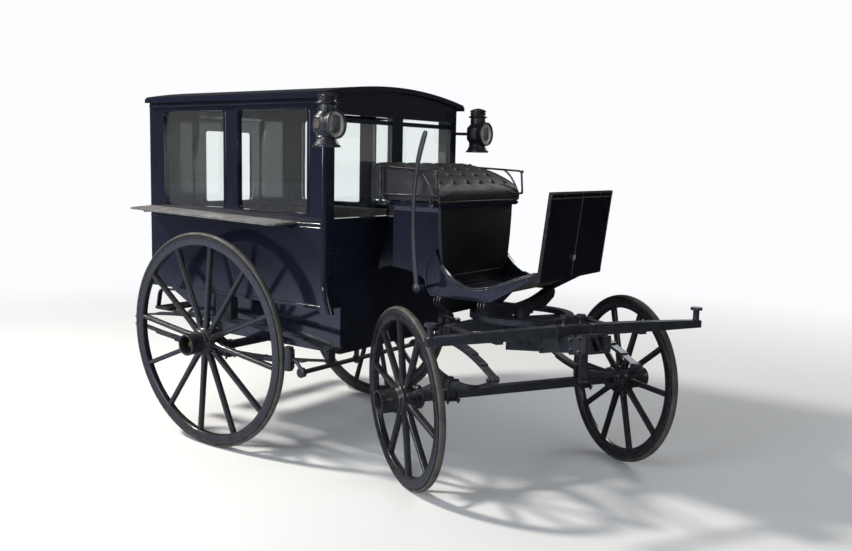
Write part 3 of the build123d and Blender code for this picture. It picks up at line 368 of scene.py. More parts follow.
bench_leather = finish(
    "bench_leather", (0.045, 0.026, 0.018), 0.42, surface="pebble", bump=0.4, bump_depth=0.0008,
)
print("materials so far", len(bpy.data.materials))

# %% [markdown]
# ## Irons, nickel and brass
# Iron is painted where it carries, and bright where hands and boots rub it. One grey metal for all
# would look cast in one piece. So each kind has its own share of metal, wear and dust.

# %% Irons, nickel and brass
black_iron = finish(
    "black_iron", (0.012, 0.013, 0.015), 0.3, coat=0.2, coat_rough=0.2, wear=0.4, wear_width=0.002,
    worn=(0.2, 0.17, 0.14), dust_and_sheen_amount=0.12, bump=0.15, rough_spread=0.15,
)
gear_iron = finish(
    "gear_iron", (0.028, 0.029, 0.033), 0.30, metal=0.3, coat=0.25, coat_rough=0.2, wear=0.9,
    wear_width=0.002, wear_scale=55.0, worn=(0.26, 0.235, 0.20), dust_and_sheen_amount=0.18, dust_and_sheen_top=0.7, bump=0.15,
    rough_spread=0.2,
)
polished_iron = finish(
    "polished_iron", (0.075, 0.076, 0.080), 0.26, metal=0.85, coat=0.2, wear=0.7, wear_width=0.0015,
    wear_scale=70.0, worn=(0.42, 0.40, 0.37), bump=0.15, rough_spread=0.25, Scale=20.0, Fine=300.0,
)
lever_iron = finish(
    "lever_iron", (0.050, 0.052, 0.060), 0.34, metal=0.35, coat=0.2, coat_rough=0.2, wear=0.8,
    wear_width=0.002, worn=(0.30, 0.28, 0.26), bump=0.15, rough_spread=0.2,
)
dash_iron = finish(
    "dash_iron", (0.105, 0.078, 0.056), 0.36, metal=0.35, wear=0.8, wear_width=0.002,
    worn=(0.40, 0.31, 0.22), dust_and_sheen_amount=0.3, dust_and_sheen_top=0.4, bump=0.2, rough_spread=0.25,
)
nickel = finish(
    "nickel", (0.16, 0.165, 0.17), 0.30, metal=1.0, wear=0.5, wear_width=0.002, worn=(0.45, 0.44, 0.42),
    bump=0.1, rough_spread=0.2,
)
old_brass = finish(
    "old_brass", (0.22, 0.135, 0.055), 0.38, metal=0.9, wear=0.5, wear_width=0.002,
    worn=(0.55, 0.42, 0.2), dust_and_sheen_amount=0.12, bump=0.15, rough_spread=0.25,
)
print("materials so far", len(bpy.data.materials))

# %% [markdown]
# ## Glass
# Window glass is drawn and slightly wavy, and hazy in patches. A flat clear pane would vanish, and
# one that mixes two shaders is hard to carry to other programs. So it keeps a plain transmission,
# and only its roughness and normal vary.

# %% Window glass and lamp lens
def glass(name, tint, rough, wave):
    """Clear glass with a haze of up to 0.03 over its roughness, and a slight wave."""
    material = bpy.data.materials.new(name)
    material.use_nodes = True
    tree = material.node_tree
    shader = tree.nodes["Principled BSDF"]
    shader.inputs["Base Color"].default_value = tint
    shader.inputs["Transmission Weight"].default_value = 1.0
    shader.inputs["IOR"].default_value = 1.46
    relief = use_group(tree, brush, Scale=9.0, Fine=60.0)
    tree.links.new(remap(tree, relief["Haze"], 0.0, 1.0, rough, rough + 0.03), shader.inputs["Roughness"])
    bump_links = {"Height": relief["Height"], "Strength": wave, "Distance": 0.002}
    tree.links.new(add_node(tree, "ShaderNodeBump", bump_links).outputs[0], shader.inputs["Normal"])
    return material


window_glass = glass("window_glass", (0.93, 0.96, 0.95, 1), 0.0, 0.05)
lens_glass = glass("lens_glass", (0.92, 0.93, 0.92, 1), 0.42, 0.1)
print("two kinds of glass made")

# %% [markdown]


# %% [markdown]
# ## Dressing the CAD nodes
# A CAD node whose shape is right keeps it and only gets a better material. Making it anew would
# risk its size for nothing. One table says which finish each node wears.

# %% Materials on the CAD nodes
dressed = {
    coach_paint: (
        "roof", "side_wall_right", "side_wall_left", "front_wall", "rear_wall", "floor_and_footwell",
        "driver_box", "rear_door", "footboard",
    ),
    gear_paint: (
        "brake_lever", "brake_gear", "rear_axle", "rear_spring_right", "rear_spring_left", "upper_bed",
        "front_axle", "front_spring_right", "front_spring_left", "turntable", "futchells", "splinter_bar",
    ),
    wheel_paint: ("wheel_rear_right", "wheel_rear_left", "wheel_front_right", "wheel_front_left"),
    rubber: ("tyre_rear_right", "tyre_rear_left", "tyre_front_right", "tyre_front_left"),
    black_iron: ("seat_rails", "rear_step"),
    black_leather: ("seat_front_panel",),
    patent_leather: ("dashboard",),
    board_paint_and_sky_sheen: ("mudguard_right", "mudguard_left"),
    cushion_leather: ("driver_cushion",),
    bench_leather: ("bench_right", "bench_left"),
    nickel: ("lamp_right", "lamp_left"),
    window_glass: ("side_glass_right", "side_glass_left", "front_glass", "door_glass"),
}
for material, names in dressed.items():
    for name in names:
        nodes[name].data.materials.clear()
        nodes[name].data.materials.append(material)
print("dressed", sum(len(names) for names in dressed.values()), "of", len(nodes), "nodes")

# %% [markdown]
# ## Tools for shapes
# Most parts come from two moves. A profile spun round an axis makes a nave, a hoop or a lamp. A row
# of rings bridged together makes a spoke or a rail. Modifiers could do both, but a bmesh lets many
# such forms share one mesh. Each helper works in metres, and the finished mesh is closed with its
# normals pointing out.

# %% Spun and bridged shapes
def new_faces(shape, old, material):
    """The faces that aren't in old, with their material slot set."""
    made = [face for face in shape.faces if face not in old]
    for face in made:
        face.material_index = material
    return made


def lathe(shape, profile, steps, material=0, close=True, place=None):
    """Spins a profile of (along, radius) round the X axis into a closed ring or solid, then places it."""
    old, old_points = set(shape.faces), set(shape.verts)
    points = [shape.verts.new((along, 0, radius)) for along, radius in profile]
    chain = zip(points, points[1:] + (points[:1] if close else []))
    edges = [shape.edges.new(pair) for pair in chain]
    bmesh.ops.spin(
        shape, geom=points + edges, cent=(0, 0, 0), axis=(1, 0, 0), angle=2 * math.pi, steps=steps,
        use_merge=True,
    )
    if place is not None:
        spun = [vertex for vertex in shape.verts if vertex not in old_points]
        bmesh.ops.transform(shape, matrix=place, verts=spun)
    return new_faces(shape, old, material)


def rings(shape, stations, sides, material=0, square=1.0):
    """Bridges ellipses into a closed rod. A station is a matrix that places a unit circle."""
    old = set(shape.faces)
    loops = []
    for station in stations:
        circle = bmesh.ops.create_circle(shape, cap_ends=False, radius=1, segments=sides)["verts"]
        for vertex in circle:
            angle = math.atan2(vertex.co.y, vertex.co.x)
            vertex.co.x = math.copysign(abs(math.cos(angle)) ** square, math.cos(angle))
            vertex.co.y = math.copysign(abs(math.sin(angle)) ** square, math.sin(angle))
        bmesh.ops.transform(shape, matrix=station, verts=circle)
        edges = {edge for vertex in circle for edge in vertex.link_edges}
        loops.append(sorted(edges, key=lambda edge: edge.index))
    for first, second in zip(loops, loops[1:]):
        bmesh.ops.bridge_loops(shape, edges=first + second)
    for loop in (loops[0], loops[-1]):
        bmesh.ops.edgeloop_fill(shape, edges=loop)
    return new_faces(shape, old, material)


# %% Finishing a piece
def piece(name, shape, materials, body, place=None, replaced=(), sharp=0.6):
    """The bmesh as a smooth-shaded object that rides on a body and stands for the nodes it replaces."""
    bmesh.ops.remove_doubles(shape, verts=shape.verts, dist=1e-6)
    bmesh.ops.recalc_face_normals(shape, faces=shape.faces)
    if place is not None:
        bmesh.ops.transform(shape, matrix=place, verts=shape.verts)
    for face in shape.faces:
        face.smooth = True
    for edge in shape.edges:
        if len(edge.link_faces) == 2 and edge.calc_face_angle() > sharp:
            edge.smooth = False
    mesh = bpy.data.meshes.new(name)
    shape.to_mesh(mesh)
    shape.free()
    made = bpy.data.objects.new(name, mesh)
    bpy.context.scene.collection.objects.link(made)
    for material in materials:
        mesh.materials.append(material)
    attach(made, body)
    if replaced:
        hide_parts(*replaced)
    return made


print("shape helpers ready")

# %% [markdown]
# ## Wheels
# A coach wheel is joinery: a turned nave with iron hoops, spokes cut square at the nave and rounded
# towards the rim, felloes bent or sawn to the rim's curve, and a rubber tyre held in an iron
# channel. An array of one spoke would do for plain paint. But these wheels show their grain, so each
# spoke is bridged from a row of rings and turned to its place, and a UV map named "along" runs down
# it and round the rim, so that the grain follows the wood. Nave, hoops and rim are spun.

# %% The nave and its hoops
tyre_half = 0.018
nave_wood = (
    (-0.088, 0.0226), (-0.088, 0.054), (-0.084, 0.057), (-0.074, 0.0575), (-0.066, 0.061), (-0.052, 0.064),
    (-0.045, 0.070), (-0.034, 0.0745), (-0.024, 0.0785), (0.024, 0.0785), (0.030, 0.0745), (0.040, 0.0715),
    (0.046, 0.065), (0.054, 0.062), (0.060, 0.058), (0.071, 0.056), (0.071, 0.0226),
)
hoops = (
    # from, to, radius, thickness
    (-0.084, -0.070, 0.0602, 0.004),
    (-0.044, -0.036, 0.0765, 0.004),
    (0.027, 0.036, 0.0785, 0.005),
    (0.047, 0.053, 0.0672, 0.004),
)


# the long open band in front of the nave, rolled at both of its edges
front_band = (
    (0.058, 0.0555), (0.058, 0.0605), (0.062, 0.0612), (0.067, 0.0595), (0.071, 0.0588),
    (0.128, 0.0572), (0.132, 0.0590), (0.138, 0.0592), (0.1418, 0.0572), (0.1418, 0.0520),
    (0.138, 0.0498), (0.0715, 0.0502),
)


def hoop_profile(start, end, radius, thick):
    """An iron hoop with a rounded outside, shrunk on the nave."""
    soft = thick * 0.45
    return (
        (start, radius - thick), (start, radius - soft), (start + soft, radius), (end - soft, radius),
        (end, radius - soft), (end, radius - thick),
    )


print("hoops", len(hoops), "nave profile points", len(nave_wood))

# %% One spoke
spoke_stations = (
    # share of the way from nave to felloe, half depth along the axle, half width round the wheel
    (0.00, 0.0175, 0.0185),
    (0.06, 0.0178, 0.0185),
    (0.13, 0.0176, 0.0165),
    (0.22, 0.0172, 0.0148),
    (0.45, 0.0168, 0.0138),
    (0.75, 0.0166, 0.0138),
    (0.93, 0.0168, 0.0142),
    (1.00, 0.0168, 0.0142),
)


def spoke(shape, angle, start, end):
    """A spoke bridged from rings that stand across it, with the grain along it."""
    stations = []
    for share, deep, wide in spoke_stations:
        radius = start + share * (end - start)
        stations.append(Matrix.Translation((0, 0, radius)) @ Matrix.Diagonal((deep, wide, 1, 1)))
    made = rings(shape, stations, 12, square=0.72)
    points = list({vertex for face in made for vertex in face.verts})
    layer = shape.loops.layers.uv["along"]
    for face in made:
        for corner in face.loops:
            corner[layer].uv = (corner.vert.co.y + angle, corner.vert.co.z)
    turn = Matrix.Rotation(angle - math.pi / 2, 3, "X")
    bmesh.ops.rotate(shape, cent=(0, 0, 0), matrix=turn, verts=points)


print("spoke rings", len(spoke_stations))

# %% The rim and its grain
grain_radius = 0.6


def rim_uv(shape, faces):
    """Runs the grain of nave and felloes round the wheel."""
    layer = shape.loops.layers.uv["along"]
    for face in faces:
        middle = face.calc_center_median()
        centre_angle = math.atan2(middle.z, middle.y)
        for corner in face.loops:
            point = corner.vert.co
            angle = math.atan2(point.z, point.y)
            if angle - centre_angle > math.pi:
                angle -= 2 * math.pi
            if centre_angle - angle > math.pi:
                angle += 2 * math.pi
            corner[layer].uv = (point.x + math.hypot(point.y, point.z), angle * grain_radius)


def both_ways(half_profile):
    """A profile from one side of the wheel to the other, given by its outer half from the edge in."""
    return [(-along, radius) for along, radius in half_profile] + list(half_profile)[::-1]


felloe_half = tyre_half + 0.0008


def felloe_profile(inner, outer):
    """The section of the felloes, chamfered on the side of the hub."""
    edge = 0.006
    return both_ways((
        (felloe_half, outer), (felloe_half, inner + edge),
        (felloe_half - edge * 0.35, inner + edge * 0.35), (felloe_half - edge, inner),
    ))


def channel_profile(felloe_outer):
    """The iron channel: a flat hoop with two low flanges that hold the tyre."""
    return both_ways((
        (tyre_half + 0.0030, felloe_outer - 0.004), (tyre_half + 0.0030, felloe_outer + 0.0060),
        (tyre_half - 0.0002, felloe_outer + 0.0070), (tyre_half - 0.0002, felloe_outer + 0.001),
    ))


print("felloes are", round(2000 * felloe_half, 1), "mm wide")

# %% A whole wheel
def add_rivets(shape, angle, radius):
    """Two rivets on each side of the felloes, before and after a joint at that angle."""
    for side_x in (-felloe_half, felloe_half):
        for off in (-0.042, 0.042):
            turn = Matrix.Rotation(angle + off / (radius - 0.022), 4, "X")
            spot = turn @ Matrix.Translation((side_x, radius, 0)) @ Matrix.Diagonal((0.5, 1, 1, 1))
            bmesh.ops.create_uvsphere(shape, u_segments=8, v_segments=6, radius=0.0042, matrix=spot)


def make_wheel(name, place, radius, spokes, turned_share):
    """Nave, spokes and felloes of painted wood, with hoops, front band and channel of iron."""
    felloe_outer = radius - 0.026
    felloe_inner = felloe_outer - 0.046
    shape = bmesh.new()
    shape.loops.layers.uv.new("along")
    rim_uv(shape, lathe(shape, nave_wood, 64))
    rim_uv(shape, lathe(shape, felloe_profile(felloe_inner, felloe_outer), 120))
    for count in range(spokes):
        spoke(shape, 2 * math.pi * (count + turned_share) / spokes, 0.070, felloe_inner + 0.006)
    for measures in hoops:
        lathe(shape, hoop_profile(*measures), 64, 1)
    lathe(shape, front_band, 64, 1)
    lathe(shape, channel_profile(felloe_outer), 120, 1)
    for count in range(spokes // 2):
        joint = 2 * math.pi * (2 * count + turned_share + 0.5) / spokes
        add_rivets(shape, joint, felloe_inner + 0.022)
    finishes = [wheel_paint, wheel_iron]
    return piece("wheel_of_" + name, shape, finishes, name + "_wheel", place, ["wheel_" + name])


# %% The rubber tyre
def make_tyre(name, place, radius):
    """A round tread over a waist that sits in the channel."""
    inner = radius - 0.0245
    half = tyre_half - 0.0012
    waist = half - 0.006
    profile = [(-waist, inner), (-waist, radius - 0.0165), (-half, radius - 0.0135)]
    for count in range(1, 10):
        turn = math.pi * count / 10
        profile.append((-half * math.cos(turn), radius - 0.013 + 0.0128 * math.sin(turn) ** 0.8))
    profile += [(half, radius - 0.0135), (waist, radius - 0.0165), (waist, inner)]
    shape = bmesh.new()
    lathe(shape, profile, 144)
    piece("tyre_of_" + name, shape, [rubber], name + "_wheel", place, ["tyre_" + name])


print("a tyre's waist is", round(2000 * (tyre_half - 0.0072), 1), "mm wide")

# %% The four wheels in place
wheel_iron = finish(
    "wheel_iron", (0.014, 0.015, 0.018), 0.26, coat=0.5, coat_rough=0.12, wear=1.0, wear_width=0.0025,
    wear_scale=60.0, worn=(0.21, 0.19, 0.17), dust_and_sheen_amount=0.16, dust_and_sheen_top=0.5, bump=0.15, rough_spread=0.14,
)
camber = math.radians(2.5)
rear_axle = 1592
gear_turn = turned.to_3x3()
wheel_table = (
    # name, body of the axle, hand, half track, back of the king pin, radius, spokes,
    # turned by this share of a spacing
    ("rear_right", "coach_body", -1, 721, rear_axle, 610, 12, 0.73),
    ("rear_left", "coach_body", 1, 721, rear_axle, 610, 12, 0.5),
    ("front_right", "fore_carriage", -1, 634, 0, 461, 10, 0.64),
    ("front_left", "fore_carriage", 1, 634, 0, 461, 10, 0.0),
)


def wheel_place(axle_body, hand, half_track, backwards, radius):
    """Stands a wheel on its hub: X outward along the cambered axle, Y backwards."""
    hub_x = hand * (half_track + radius * math.sin(camber))
    outward, back = Vector((hand * math.cos(camber), 0, -math.sin(camber))), Vector((0, 1, 0))
    if axle_body == "fore_carriage":
        outward, back = gear_turn @ outward, gear_turn @ back
        hub = on_gear(hub_x, backwards, radius)
    else:
        hub = on_coach(hub_x, backwards, radius)
    axes = Matrix((outward, back, outward.cross(back))).transposed().to_4x4()
    return Matrix.Translation(hub) @ axes


for name, axle_body, hand, half_track, backwards, radius, spokes, turned_share in wheel_table:
    place = wheel_place(axle_body, hand, half_track, backwards, radius)
    wheel = make_wheel(name, place, radius / 1000, spokes, turned_share)
    make_tyre(name, place, radius / 1000)
    print(name, "hub at", [round(v, 3) for v in place.translation], "faces", len(wheel.data.polygons))

# %% [markdown]
# ## Axle nuts
# Inside each open band sits the nut that holds the wheel on. It rides with the axle, not the wheel,
# and it is brass that has gone brown. A spin of only six steps turns its profile into a hexagon.

# %% Axle nuts
axle_nut = (
    (0.0757, 0.0), (0.0757, 0.0285), (0.079, 0.0285), (0.079, 0.0272), (0.1005, 0.0272),
    (0.1035, 0.0240), (0.104, 0.0),
)
axle_end = ((0.1036, 0.0), (0.1036, 0.018), (0.110, 0.017), (0.114, 0.012), (0.115, 0.0))
for name, axle_body, hand, half_track, backwards, radius, *_ in wheel_table:
    shape = bmesh.new()
    lathe(shape, axle_nut, 6, close=False)
    lathe(shape, axle_end, 24, close=False)
    place = wheel_place(axle_body, hand, half_track, backwards, radius)
    piece("axle_nut_" + name, shape, [old_brass], axle_body, place, sharp=0.5)
print("axle nuts", len(wheel_table))

# %% [markdown]
# ## Lamps
# Each side lamp is sheet metal: a flared foot, a round body, a drum with a rolled bezel and a lens
# that faces forward, a port on its outer side, and a fluted chimney under two stacked lids. A
# picture on a plain drum would go flat when the view moves. So the lamp is spun in sections, with
# the drum's reflector behind a real lens, and the glass has something to show.

# %% Lamp metals and profiles
lamp_iron = finish(
    "lamp_iron", (0.072, 0.073, 0.076), 0.27, metal=0.8, coat=0.3, wear=0.7, wear_width=0.002,
    worn=(0.30, 0.28, 0.25), dust_and_sheen_amount=0.1, bump=0.12, rough_spread=0.22,
)
reflector = finish("reflector", (0.78, 0.77, 0.74), 0.5, metal=0.55, bump=0.06, rough_spread=0.2)
bezel_metal = finish(
    "bezel_metal", (0.17, 0.155, 0.125), 0.36, metal=0.9, wear=0.7, wear_width=0.002,
    worn=(0.50, 0.45, 0.36), dust_and_sheen_amount=0.15, bump=0.15, rough_spread=0.25,
)
# profiles that stand: height and radius
lamp_body = (
    (1.692, 0.0), (1.692, 0.069), (1.696, 0.070), (1.702, 0.069), (1.706, 0.062), (1.712, 0.060),
    (1.728, 0.052), (1.738, 0.0505), (1.742, 0.053), (1.747, 0.0505), (1.756, 0.054), (1.770, 0.0645),
    (1.776, 0.0665), (1.838, 0.0665), (1.846, 0.062), (1.862, 0.047), (1.866, 0.0455), (1.866, 0.0),
)
chimney = (
    (1.864, 0.0), (1.864, 0.043), (1.900, 0.043), (1.902, 0.046), (1.905, 0.057), (1.909, 0.058),
    (1.912, 0.056), (1.917, 0.0455), (1.922, 0.044), (1.926, 0.048), (1.931, 0.0485), (1.935, 0.044),
    (1.938, 0.0445), (1.942, 0.049), (1.947, 0.049), (1.954, 0.036), (1.960, 0.016), (1.962, 0.0),
)
# profiles that lie: forward of the lamp's middle, and radius
drum = (
    (0.0675, 0.0715), (0.064, 0.0722), (0.052, 0.0685), (0.050, 0.0665), (0.020, 0.0600),
    (0.006, 0.0560), (0.006, 0.0530), (0.020, 0.0560), (0.052, 0.0630), (0.060, 0.0655),
    (0.0665, 0.0665),
)
bezel = (
    (0.0600, 0.0655), (0.0660, 0.0722), (0.0688, 0.0716), (0.0690, 0.0660), (0.0675, 0.0628),
    (0.0645, 0.0622), (0.0610, 0.0630),
)
bowl = (
    (0.030, 0.0), (0.031, 0.016), (0.036, 0.034), (0.046, 0.050), (0.058, 0.0618), (0.056, 0.0630),
    (0.043, 0.052), (0.032, 0.036), (0.027, 0.017), (0.026, 0.0),
)
port = (
    (0.062, 0.0), (0.062, 0.024), (0.0685, 0.024), (0.0710, 0.0215), (0.0710, 0.0180),
    (0.0690, 0.0165), (0.0690, 0.0),
)
lens = (
    (0.0615, 0.0), (0.0612, 0.030), (0.0605, 0.0640), (0.0630, 0.0640), (0.0655, 0.045),
    (0.0672, 0.020), (0.0676, 0.0),
)
print("a lamp is", round(chimney[-1][0] - lamp_body[0][0], 3), "m tall")

# %% A block with soft edges
def block(shape, centre, size, round_edge, turn=None):
    """A box with bevelled edges, turned and then moved to its centre."""
    old = set(shape.faces)
    corners = bmesh.ops.create_cube(shape, size=1)["verts"]
    bmesh.ops.scale(shape, vec=size, verts=corners)
    edges = list({edge for vertex in corners for edge in vertex.link_edges})
    bmesh.ops.bevel(
        shape, geom=edges, offset=round_edge, offset_type="OFFSET", segments=2, profile=0.5,
        affect="EDGES", material=-1, clamp_overlap=True,
    )
    points = list({vertex for face in shape.faces if face not in old for vertex in face.verts})
    if turn is not None:
        bmesh.ops.transform(shape, matrix=turn, verts=points)
    bmesh.ops.translate(shape, vec=centre, verts=points)


print("block helper ready")

# %% Lamp bodies
upright = Matrix.Rotation(-math.pi / 2, 4, "Y")
to_front = Matrix.Rotation(-math.pi / 2, 4, "Z")
lamp_x, lamp_back, lamp_height = 690, 745, 1805
flute_count, flute_radius, flute_height = 18, 0.0435, 1.882


def make_lamp(name, hand):
    """One lamp round its upright stem, its drum turned to the front, and its lens apart."""
    centre = on_coach(hand * lamp_x, lamp_back, 0)
    stem = Matrix.Translation(centre) @ upright
    shape = bmesh.new()
    for profile in (lamp_body, chimney):
        lathe(shape, profile, 48, close=False, place=stem)
    for count in range(flute_count):
        turn = Matrix.Rotation(2 * math.pi * count / flute_count, 4, "Z")
        spot = Matrix.Translation(centre + Vector((0, 0, flute_height))) @ turn
        spot = spot @ Matrix.Translation((flute_radius, 0, 0))
        block(shape, (0, 0, 0), (0.004, 0.006, 0.034), 0.0015, turn=spot)
    ahead = Matrix.Translation(on_coach(hand * lamp_x, lamp_back, lamp_height)) @ to_front
    lathe(shape, drum, 56, 0, place=ahead)
    lathe(shape, bezel, 56, 1, place=ahead)
    lathe(shape, bowl, 56, 2, close=False, place=ahead)
    outward = Matrix.Rotation(math.pi if hand < 0 else 0, 4, "Z")
    beside = Matrix.Translation(on_coach(hand * lamp_x, lamp_back + 7, lamp_height)) @ outward
    lathe(shape, port, 32, 1, close=False, place=beside)
    made = piece(name, shape, [lamp_iron, bezel_metal, reflector], "coach_body", sharp=0.5)
    shape = bmesh.new()
    lathe(shape, lens, 56, close=False)
    piece(name + "_lens", shape, [lens_glass], "coach_body", ahead, sharp=0.9)
    return made


print("lamps stand", lamp_x, "mm from the middle")

# %% Lamp brackets
def make_bracket(name, hand):
    """A wrought bracket from the corner pillar to the lamp's back, with a bolted foot."""
    shape = bmesh.new()
    out = Vector((hand, 0, 0))
    foot = on_coach(hand * 604, 872, lamp_height)
    socket = on_coach(hand * lamp_x, lamp_back, lamp_height)
    block(shape, foot + out * 0.004, (0.008, 0.020, 0.060), 0.002)
    bend = (foot + out * 0.026 + Vector((0, -0.004, 0)), socket - out * 0.02 + Vector((0, 0.07, 0)))
    path = [foot + out * 0.004, *bend, socket]
    stations = []
    for index, point in enumerate(path):
        ahead = path[min(index + 1, len(path) - 1)] - path[max(index - 1, 0)]
        turn = ahead.to_track_quat("Z", "Y").to_matrix().to_4x4()
        stations.append(Matrix.Translation(point) @ turn @ Matrix.Diagonal((0.009, 0.009, 1, 1)))
    rings(shape, stations, 12)
    for lift in (-0.021, 0.021):
        spot = Matrix.Translation(foot + Vector((hand * 0.008, 0, lift))) @ Matrix.Diagonal((0.5, 1, 1, 1))
        bmesh.ops.create_uvsphere(shape, u_segments=12, v_segments=8, radius=0.005, matrix=spot)
    piece(name, shape, [lamp_iron], "coach_body", sharp=0.7)


both_sides = (("right", -1), ("left", 1))
for name, hand in both_sides:
    lamp = make_lamp("side_lamp_" + name, hand)
    make_bracket("lamp_bracket_" + name, hand)
    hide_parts("lamp_" + name)
    print("lamp", name, "faces", len(lamp.data.polygons))

# %% [markdown]
# ## Cushions
# A cushion is blown up, not drawn. A copy of the CAD solid is drawn in a little, remeshed into even
# squares and filled with air by the cloth solver, with no gravity. The points that rest on wood are
# held. No point may move further than a cap, so the pad keeps its place. Buttons, pleats and piping
# are finer than the squares, so they come afterwards.

# %% Filling a pad
frames_of_filling = 20


def filled(name, source, voxel, cap, held, pressure):
    """The mesh remeshed, blown up and subdivided once. held(point) says which points stay."""
    pad = bpy.data.objects.new(name, source)
    scene = bpy.context.scene
    scene.collection.objects.link(pad)
    remesh = pad.modifiers.new("remesh", "REMESH")
    remesh.mode = "VOXEL"
    remesh.voxel_size = voxel
    graph = bpy.context.evaluated_depsgraph_get()
    pad.data = bpy.data.meshes.new_from_object(pad.evaluated_get(graph))
    pad.modifiers.clear()
    start = [point.co.copy() for point in pad.data.vertices]
    pins = pad.vertex_groups.new(name="held")
    pins.add([point.index for point in pad.data.vertices if held(point.co)], 1.0, "REPLACE")
    cloth = pad.modifiers.new("cloth", "CLOTH")
    cloth.settings.quality = 5
    cloth.settings.mass = 0.4
    cloth.settings.tension_stiffness = cloth.settings.compression_stiffness = 12
    cloth.settings.bending_stiffness = 1.5
    cloth.settings.use_pressure = True
    cloth.settings.uniform_pressure_force = pressure
    cloth.settings.vertex_group_mass = "held"
    cloth.settings.effector_weights.gravity = 0
    cloth.point_cache.frame_end = frames_of_filling
    for step in range(frames_of_filling):
        scene.frame_set(step + 1)
    graph = bpy.context.evaluated_depsgraph_get()
    blown = bpy.data.meshes.new_from_object(pad.evaluated_get(graph))
    pad.modifiers.clear()
    pad.vertex_groups.clear()
    pad.data = blown
    scene.frame_set(1)
    furthest = 0.0
    for point, before in zip(pad.data.vertices, start):
        move = point.co - before
        furthest = max(furthest, move.length)
        if move.length > cap:
            point.co = before + move * (cap / move.length)
    print(name, "points", len(start), "furthest move", round(furthest * 1000, 1), "mm")
    shape = bmesh.new()
    shape.from_mesh(pad.data)
    every_axis = {"use_axis_x": True, "use_axis_y": True, "use_axis_z": True}
    bmesh.ops.smooth_vert(shape, verts=shape.verts, factor=0.5, **every_axis)
    bmesh.ops.subdivide_edges(shape, edges=shape.edges, cuts=1, use_grid_fill=True, smooth=0.7)
    bmesh.ops.recalc_face_normals(shape, faces=shape.faces)
    return pad, shape


# %% The mesh that a pad starts from
def merged_copy(name, node, inset):
    """The CAD node's mesh with its loose corners joined, drawn in on every side."""
    shape = bmesh.new()
    shape.from_mesh(nodes[node].data)
    bmesh.ops.remove_doubles(shape, verts=shape.verts, dist=1e-5)
    low, high = (Vector(corner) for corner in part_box(node))
    middle, half = (low + high) / 2, (high - low) / 2
    for axis in range(3):
        share = (half[axis] - inset) / half[axis]
        for point in shape.verts:
            point.co[axis] = middle[axis] + (point.co[axis] - middle[axis]) * share
    mesh = bpy.data.meshes.new(name)
    shape.to_mesh(mesh)
    shape.free()
    return mesh


# %% A filled pad put in its place
def settle(pad, shape, material, body, replaced=()):
    """Writes the shaped pad back, dressed and riding on its body, and hides the nodes it replaces."""
    shape.to_mesh(pad.data)
    shape.free()
    pad.data.shade_smooth()
    pad.data.materials.clear()
    pad.data.materials.append(material)
    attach(pad, body)
    if replaced:
        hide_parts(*replaced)
    print(pad.name, "faces", len(pad.data.polygons))


# %% [markdown]
# ## The driver's cushion
# It is a wedge of black leather with a rolled front and flat end panels. The top is drawn down by
# buttons in staggered rows. Each button pulls a short slanting pleat, and the leather stands in soft
# lozenges between them.

# %% The cushion filled
cushion_foot, cushion_end = 1.436, 0.380
pad, shape = filled(
    "driver_seat_cushion", merged_copy("cushion_start", "driver_cushion", 0.007), 0.0075, 0.0045,
    lambda point: point.z < cushion_foot or abs(point.x) > cushion_end, 4.5,
)
print("cushion points", len(shape.verts))

# %% Buttons and pleats in plan
button_rows = (
    # back of the king pin, first button's x, number of buttons, spacing
    (316, -310, 6, 124),
    (392, -248, 5, 124),
    (470, -310, 6, 124),
    (548, -248, 5, 124),
    (624, -310, 6, 124),
)
buttons = [
    Vector(((first + count * gap) / 1000, back / 1000 + king_pin_y))
    for back, first, number, gap in button_rows
    for count in range(number)
]
pleats = [
    (first, second)
    for index, first in enumerate(buttons)
    for second in buttons[index + 1:]
    if 0.03 < abs(second.x - first.x) < 0.09 and 0.05 < second.y - first.y < 0.10
]


def segment_distance(point, start, end):
    """How far a point of the plan lies from a line, and how far along it."""
    line = end - start
    share = max(0.0, min(1.0, (point - start).dot(line) / line.length_squared))
    return (point - start - line * share).length, share


def bell(distance, width):
    """One at no distance, and soon nothing past the width."""
    return math.exp(-((distance / width) ** 2))


print("buttons", len(buttons), "pleats", len(pleats))

# %% The leather drawn down
slit_start, slit_end = Vector((0.016, 0.009)), Vector((0.018, 0.011))
shape.normal_update()
moves = []
for point in shape.verts:
    if point.normal.z < 0.15 or point.co.z < 1.45:
        continue
    plan = point.co.xy
    down = 0.0
    for spot in buttons:
        away = (plan - spot).length
        if away < 0.07:
            slit = segment_distance(plan, spot - slit_start, spot + slit_end)[0]
            down += 0.0065 * bell(away, 0.012) + 0.0012 * bell(away, 0.035) + 0.0045 * bell(slit, 0.0042)
    crease = 0.0
    for start, end in pleats:
        away, share = segment_distance(plan, start, end)
        if away < 0.02:
            deep = 0.0012 - 0.0008 * math.sin(math.pi * share)
            crease = max(crease, deep * bell(away, 0.006))
    edge = min(1.0, max(0.0, (0.392 - abs(plan.x)) / 0.04))
    strength = edge * min(1.0, max(0.0, (point.normal.z - 0.35) / 0.25))
    wave = noise.noise(point.co * 9.0) * 0.0007
    moves.append((point, -point.normal * ((down + crease) * strength) + point.normal * wave))
for point, move in moves:
    point.co += move
settle(pad, shape, cushion_leather, "coach_body", ["driver_cushion"])

# %% [markdown]
# ## Piping and buttons
# A welt of leather is sewn round both end panels and along the foot of the front roll. The buttons
# are small covered domes at the bottom of their dimples. The pad's squares are too coarse to carry
# either, so the welts are swept along their seams, and a ray sent down finds the place and the tilt
# of each button.

